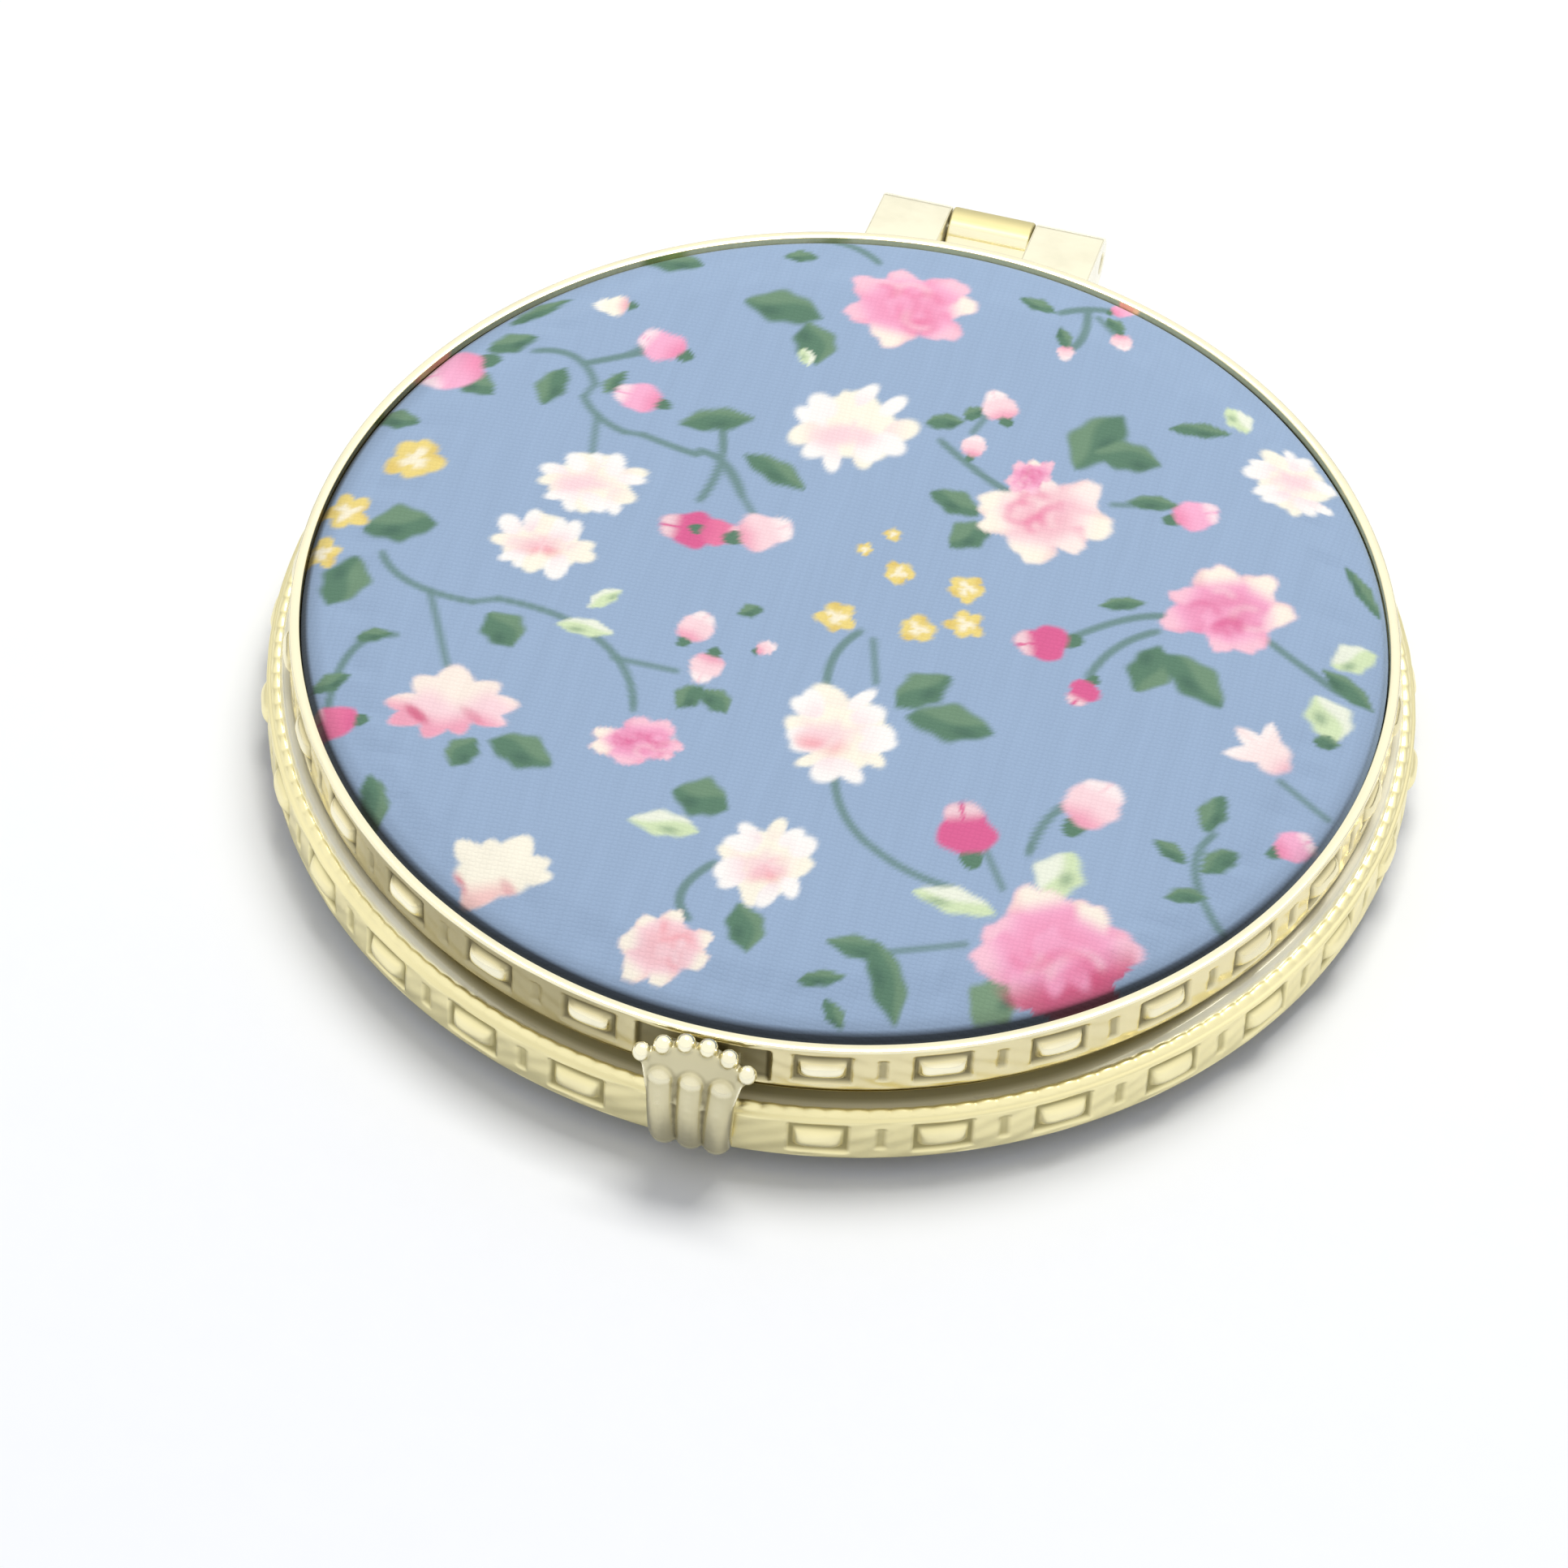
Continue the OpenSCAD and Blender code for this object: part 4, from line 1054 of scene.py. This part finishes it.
# %% Casting helper
def apply(piece, modifier):
    bpy.context.view_layer.objects.active = piece
    bpy.ops.object.modifier_apply(modifier=modifier.name)


def bored(piece, x0, x1, bore):
    """Bores a hole along X. bore is its (y, z, radius)."""
    y, z, radius = bore
    bpy.ops.mesh.primitive_cylinder_add(vertices=48, radius=radius * MM, depth=(abs(x1 - x0) + 2) * MM,
                                        location=((x0 + x1) / 2 * MM, y * MM, z * MM),
                                        rotation=(0, math.pi / 2, 0))
    drill = bpy.context.object
    cut = piece.modifiers.new("bore", "BOOLEAN")
    cut.operation, cut.object, cut.solver = "DIFFERENCE", drill, "EXACT"
    apply(piece, cut)
    bpy.data.objects.remove(drill)


def drawn_out(name, outline, x0, x1, bore, body, rounding):
    """outline holds (y, z) points, drawn out from x0 to x1. bore is None or as in bored."""
    work = bmesh.new()
    work.faces.new([work.verts.new((x0 * MM, y * MM, z * MM)) for y, z in outline])
    far = bmesh.ops.extrude_face_region(work, geom=list(work.faces))["geom"]
    for v in far:
        if isinstance(v, bmesh.types.BMVert):
            v.co.x = x1 * MM
    bmesh.ops.recalc_face_normals(work, faces=work.faces)
    mesh = bpy.data.meshes.new(name)
    work.to_mesh(mesh)
    work.free()
    piece = in_scene(name, mesh)
    if bore:
        bored(piece, x0, x1, bore)
    bevel = piece.modifiers.new("round", "BEVEL")
    bevel.width, bevel.segments = rounding * MM, 3
    bevel.limit_method, bevel.angle_limit = "ANGLE", math.radians(35)
    apply(piece, bevel)
    for polygon in piece.data.polygons:
        polygon.use_smooth = True
    piece.modifiers.new("even", "WEIGHTED_NORMAL").keep_sharp = True
    # The lid's castings get a full painted highlight and are half matt, the base's a lesser one,
    # and the back of the base's barrel gets painted shade
    of_base = body == "base"
    y = np.array([v.co for v in piece.data.vertices])[:, 1] / MM
    behind = soft(HINGE_Y - 1.0, HINGE_Y - 0.4, y) * of_base
    point_value(piece, "groove", 0.75 * behind)
    point_value(piece, "polish_and_highlight", (0.8 if of_base else 1.0) * (1 - behind))
    point_value(piece, "matt", np.full(len(y), 0.0 if of_base else 0.5))
    piece.data.materials.append(base_gold if of_base else rim_gold)
    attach(piece, body)


# %% Knuckles, lugs and catch
LUG_R, CATCH_R = 0.55, 0.4
LID_BORE = (HINGE_Y, PART_Z, 0.7)
BASE_BORE = (HINGE_Y, PART_Z, 0.75)
CLASP_BORE = (-CLASP_OUT, CLASP_Z, 0.35)


def knuckle_outline(rim_y, rim_z, side):
    """Side view of an arm that leaves the rim and lies tangent to its barrel."""
    reach = math.hypot(HINGE_Y - rim_y, rim_z - PART_Z)
    away = math.atan2(rim_z - PART_Z, rim_y - HINGE_Y)
    start = away - side * math.acos(KNUCKLE_R / reach)
    stop = math.atan2(-side * 0.9, -1.44)
    sweep = (start - stop) % (2 * math.pi) if side > 0 else -((stop - start) % (2 * math.pi))
    arc = [start - sweep * k / 40 for k in range(41)]
    outline = [(HINGE_Y + KNUCKLE_R * math.cos(a), PART_Z + KNUCKLE_R * math.sin(a)) for a in arc]
    return [(rim_y, rim_z)] + outline + [(rim_y, PART_Z + side * (PROUD + 0.3))]


arm = knuckle_outline(LID_R - 0.5, LID_LOW + LID_H - 0.8, 1)
barrel = knuckle_outline(BASE_R - 0.5, BASE_TOP - 2.1, -1)
half_turn = np.linspace(0, math.pi, 17)
lug = [(-CLASP_OUT + LUG_R * math.sin(a), CLASP_Z - LUG_R * math.cos(a)) for a in -half_turn]
lug += [(-LID_R + 0.7, CLASP_Z + LUG_R), (-LID_R + 0.7, CLASP_Z - LUG_R)]
level = BASE_TOP - 0.75
catch = [(-BASE_R - CATCH_R * math.sin(a), level + CATCH_R * math.cos(a)) for a in half_turn]
catch += [(-BASE_R + 0.4, level - CATCH_R), (-BASE_R + 0.4, level + CATCH_R)]
for sign, hand in ((-1, "left"), (1, "right")):
    drawn_out("lid_knuckle_" + hand, arm, sign * ARM_IN, sign * ARM_OUT, LID_BORE, "lid", 0.14)
    drawn_out("clasp_lug_" + hand, lug, sign * 1.45, sign * 2.25, CLASP_BORE, "lid", 0.06)
drawn_out("base_knuckle", barrel, -BARREL_HALF, BARREL_HALF, BASE_BORE, "base", 0.14)
drawn_out("clasp_catch", catch, -2.2, 2.2, None, "base", 0.06)
print("castings: 2 arms, 2 lugs, a barrel and a catch")

# %% [markdown]
# The shell clasp is a small casting too. Its ribs and beads could be sculpted afresh, but the
# exact solid already has them. It is melted down to one even skin, which rounds every inner
# corner as a casting's is rounded, and hollows are found by how far each point lies below its
# neighbours, to darken them. Crests that stand above their neighbours get a painted highlight.

# %% Clasp
SKIN, PASSES = 0.075, 18


def sunk_below(mesh):
    """How many millimetres each point lies below the surface around it."""
    co = np.empty(len(mesh.vertices) * 3)
    mesh.vertices.foreach_get("co", co)
    co = co.reshape(-1, 3)
    normal = np.array([v.normal for v in mesh.vertices])
    edges = np.empty(len(mesh.edges) * 2, int)
    mesh.edges.foreach_get("vertices", edges)
    a, b = edges.reshape(-1, 2).T
    count = np.bincount(np.concatenate([a, b]), minlength=len(co))[:, None]
    even = co.copy()
    for _ in range(PASSES):
        total = np.zeros_like(co)
        np.add.at(total, a, even[b])
        np.add.at(total, b, even[a])
        even = total / np.maximum(count, 1)
    return ((even - co) * normal).sum(1) / MM


clasp = in_scene("clasp_cast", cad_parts["clasp_shell"].data.copy())
melt = clasp.modifiers.new("melt", "REMESH")
melt.mode, melt.voxel_size = "VOXEL", SKIN * MM
apply(clasp, melt)
ease = clasp.modifiers.new("ease", "SMOOTH")
ease.factor, ease.iterations = 0.5, 4
apply(clasp, ease)
sunk = sunk_below(clasp.data)
for polygon in clasp.data.polygons:
    polygon.use_smooth = True
point_value(clasp, "groove", soft(0.0, 0.09, sunk))
# Painted highlight on the crests
point_value(clasp, "polish_and_highlight", soft(-0.015, -0.06, sunk))
clasp.data.materials.clear()
clasp.data.materials.append(clasp_gold)
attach(clasp, "clasp")
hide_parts("clasp_shell")
print("clasp hollows and crests in mm:", np.round(np.quantile(sunk, (0, 0.1, 0.5, 0.9, 1)), 3))
print("clasp:", len(clasp.data.polygons), "faces")

# %% [markdown]
# What lies inside the case: pressed bezels, plate glass with its silvering, tape, card and
# board. Their CAD solids are already right, so all but the glass stay and only get materials.
# A mirror could be one shiny disc, but glass in front of silvering doubles its edge as a real
# mirror does.

# %% Silvering and glass
silver, tree, shader = material("silvering")
haze = noise(tree, own_place(tree), 90.0, 5.0)
tint = blend(tree, ramp(tree, haze, 0.45, 0.8), rgba((242, 244, 244)), rgba((236, 238, 239)))
misty = maths(tree, "MULTIPLY_ADD", haze, 0.01, 0.003)
feed(tree, shader, {"Base Color": tint, "Roughness": misty, "Metallic": 1.0})

glass, tree, shader = material("mirror_glass")
smear = noise(tree, own_place(tree), 60.0, 6.0)
tint = blend(tree, smear, rgba((252, 255, 254)), rgba((248, 253, 252)))
misty = maths(tree, "MULTIPLY_ADD", ramp(tree, smear, 0.5, 0.8), 0.012, 0.0)
feed(tree, shader, {"Base Color": tint, "Roughness": misty, "Transmission Weight": 1.0, "IOR": 1.52})
print("silvering:", len(silver.node_tree.nodes), "nodes, glass:", len(glass.node_tree.nodes))

# %% Board, card and tape
fibres, given, out = group("Fibres", [
    ("Pale", "NodeSocketColor", rgba((238, 236, 230))),
    ("Dark", "NodeSocketColor", rgba((216, 212, 202))),
    ("Scale", "NodeSocketFloat", 1200.0),
], [("Colour", "NodeSocketColor"), ("Height", "NodeSocketFloat")])
long = vector(fibres, "MULTIPLY", own_place(fibres), (1.0, 5.0, 1.0))
strand = noise(fibres, long, given["Scale"], 6.0, 0.7)
tint = blend(fibres, ramp(fibres, strand, 0.35, 0.7), given["Dark"], given["Pale"])
feed(fibres, out, {"Colour": tint, "Height": strand})


def fibrous(name, pale, dark, scale, rough=0.9):
    """Board, card or tape: flat colour with fibres and specks."""
    made, tree, shader = material(name)
    tones = {"Pale": rgba(pale), "Dark": rgba(dark), "Scale": scale}
    fibre = put(tree, "Group", tones, node_tree=fibres).outputs
    feed(tree, shader, {"Base Color": fibre["Colour"], "Roughness": rough})
    relief(tree, shader, fibre["Height"], 0.4, 0.03)
    return made


grey_board = fibrous("grey_board", (176, 164, 146), (140, 128, 110), 900)
white_card = fibrous("white_card", (238, 236, 230), (216, 212, 202), 1200)
tape = fibrous("foam_tape", (240, 240, 236), (222, 222, 214), 2400, rough=0.7)
print("fibres:", len(fibres.nodes), "nodes in 3 finishes")

# %% New finishes for the exact parts
FINISHES = {"hinge_pin": pin_gold, "clasp_pin": pin_gold}
for half in ("base", "lid"):
    FINISHES.update({half + "_bezel": bezel_gold, half + "_mirror_silvering": silver,
                     half + "_mirror_tape": tape, half + "_backing_card": white_card,
                     half + "_board": grey_board})
for name, finish in FINISHES.items():
    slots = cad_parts[name].data.materials
    slots.clear()
    slots.append(finish)
print("CAD parts with a new finish:", len(FINISHES))

# %% [markdown]
# The glass is made anew, because its edge is ground. It stops a hair short of its silvering:
# two surfaces in exactly one place give a renderer no order to meet them in.

# %% Mirror glass
GLASS_R, GLASS_LOW, SILVER_LOW = 31.05, -0.05, 0.95
HAIR, GROUND = 0.02, 0.12


def plate(name, r, near, far, into):
    """A round plate with a ground edge, from the level near to the level far of a half."""
    ends = into(np.array([[0, 0, near], [0, 0, far]]))[:, 2]
    work = bmesh.new()
    bmesh.ops.create_cone(work, cap_ends=True, segments=192, radius1=r * MM, radius2=r * MM,
                          depth=abs(ends[1] - ends[0]))
    corners = [e for e in work.edges if abs(e.verts[0].co.z - e.verts[1].co.z) < 1e-7]
    bmesh.ops.bevel(work, geom=corners, offset=GROUND * MM, segments=2, affect="EDGES", profile=0.5)
    bmesh.ops.translate(work, verts=work.verts, vec=(0, 0, ends.mean()))
    bmesh.ops.recalc_face_normals(work, faces=work.faces)
    mesh = bpy.data.meshes.new(name)
    work.to_mesh(mesh)
    work.free()
    mesh.materials.append(glass)
    return in_scene(name, mesh)


for half, into in (("lid", in_lid), ("base", in_base)):
    piece = plate(half + "_glass", GLASS_R - HAIR, GLASS_LOW, SILVER_LOW - HAIR, into)
    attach(piece, half)
    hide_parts(half + "_mirror_glass")
print("glass:", round(SILVER_LOW - HAIR - GLASS_LOW, 2), "mm thick")

# %% [markdown]
# The table is a plain pale sheet, bright enough to run into the white of the page, with only
# the case's own soft shadow on it. A curved backdrop would do the same, but no camera here
# looks low enough to see where a flat sheet ends.

# %% Table
bpy.ops.mesh.primitive_plane_add(size=4)
table = bpy.context.object
table.name = "table"
paper, tree, shader = material("table_paper")
grain = noise(tree, own_place(tree), 400.0, 3.0)
tint = blend(tree, grain, rgba((250, 251, 251)), rgba((252, 253, 253)))
feed(tree, shader, {"Base Color": tint, "Roughness": 1.0, "Specular IOR Level": 0.0})
table.data.materials.append(paper)
table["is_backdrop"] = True
print("table:", round(table.dimensions.x), "m across")

# %% [markdown]
# Camera. The photograph was taken with a long lens from in front and well above, turned 12
# degrees to the case's right and held a little out of level. Its three directions are worked
# out from those angles, because a matrix is more exact than turning a camera by eye.

# %% Camera
turn, above, roll = math.radians(12), math.radians(48.69), math.radians(3.39)
side = Vector((math.cos(turn), math.sin(turn), 0))
back = Vector((math.sin(turn) * math.cos(above), -math.cos(turn) * math.cos(above), math.sin(above)))
up = back.cross(side)
right = side * math.cos(roll) + up * math.sin(roll)
up = up * math.cos(roll) - side * math.sin(roll)
AWAY = 452
aim = Vector((-1.95, -6.32, 0.8)) * MM
camera = in_scene("camera", bpy.data.cameras.new("camera"))
camera.data.lens, camera.data.sensor_width = 167.7, 36
camera.data.clip_start, camera.data.clip_end = 0.01, 20
turned = Matrix((right, up, back)).transposed().to_4x4()
camera.matrix_world = Matrix.Translation(aim + back * AWAY * MM) @ turned
scene.camera = camera
print("camera:", AWAY, "mm from what it looks at")

# %% [markdown]
# Light. One wide softbox stands behind and above the case and throws the soft shadow forward.
# The room fills the rest with a faint blue that is dimmer at the front right. More lamps could
# model the metal, but they would wash out the shadow. So what metal and glass mirror is set
# apart: a white room with a dim strip low behind, which gives plating its dark edges.

# %% Light
lamp = bpy.data.lights.new("behind", "AREA")
lamp.shape, lamp.size, lamp.size_y = "RECTANGLE", 0.5, 0.3
lamp.energy, lamp.color = 6.2, (1.0, 0.985, 0.95)
softbox = in_scene("behind", lamp)
high_behind = Vector((0.06, 0.36, 0.9))
softbox.location = high_behind
softbox.rotation_euler = high_behind.to_track_quat("Z", "Y").to_euler()
print("softbox:", round(high_behind.length, 2), "m away")

# %% Room
world = bpy.data.worlds.new("room")
scene.world = world
world.use_nodes = True
tree = world.node_tree
tree.nodes.clear()
axes = put(tree, "SeparateXYZ", {0: put(tree, "TexCoord").outputs["Generated"]}).outputs
forward = maths(tree, "MULTIPLY", axes["Y"], -0.7)
front_right = ramp(tree, maths(tree, "MULTIPLY_ADD", axes["X"], 0.7, forward), 0.1, 0.8)
low_behind = maths(tree, "MULTIPLY", ramp(tree, axes["Z"], 0.26, 0.1), ramp(tree, axes["Y"], 0.0, 0.5))
around = blend(tree, front_right, (0.88, 0.91, 1.0, 1), (0.39, 0.41, 0.52, 1))
mirrored = blend(tree, low_behind, (1, 1, 0.98, 1), (0.22, 0.21, 0.17, 1))
room, in_metal, seen = [
    put(tree, "Background", {"Color": colour, "Strength": strength}).outputs[0]
    for colour, strength in ((around, 0.6), (mirrored, 1.05), ((1, 1, 1, 1), 1.0))]
path = put(tree, "LightPath").outputs
glossy = maths(tree, "MAXIMUM", path["Is Glossy Ray"], path["Is Transmission Ray"])
mix = put(tree, "MixShader", {0: glossy, 1: room, 2: in_metal}).outputs[0]
mix = put(tree, "MixShader", {0: path["Is Camera Ray"], 1: mix, 2: seen}).outputs[0]
put(tree, "OutputWorld", {"Surface": mix})
scene.view_settings.view_transform = "Standard"
print("room:", len(tree.nodes), "nodes")

# %% [markdown]
# Last, the dressed case is measured against the bare one. Fabric may stand a little proud of
# the exact parts, and the castings are uneven by some hundredths of a millimetre, but the case
# itself must not have grown.

# %% Measure
bounds_after = [list(corner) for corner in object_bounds()]
for when, corners in (("before", bounds_before), ("after", bounds_after)):
    print("size in mm,", when + ":", [round((b - a) / MM, 2) for a, b in zip(*corners)])
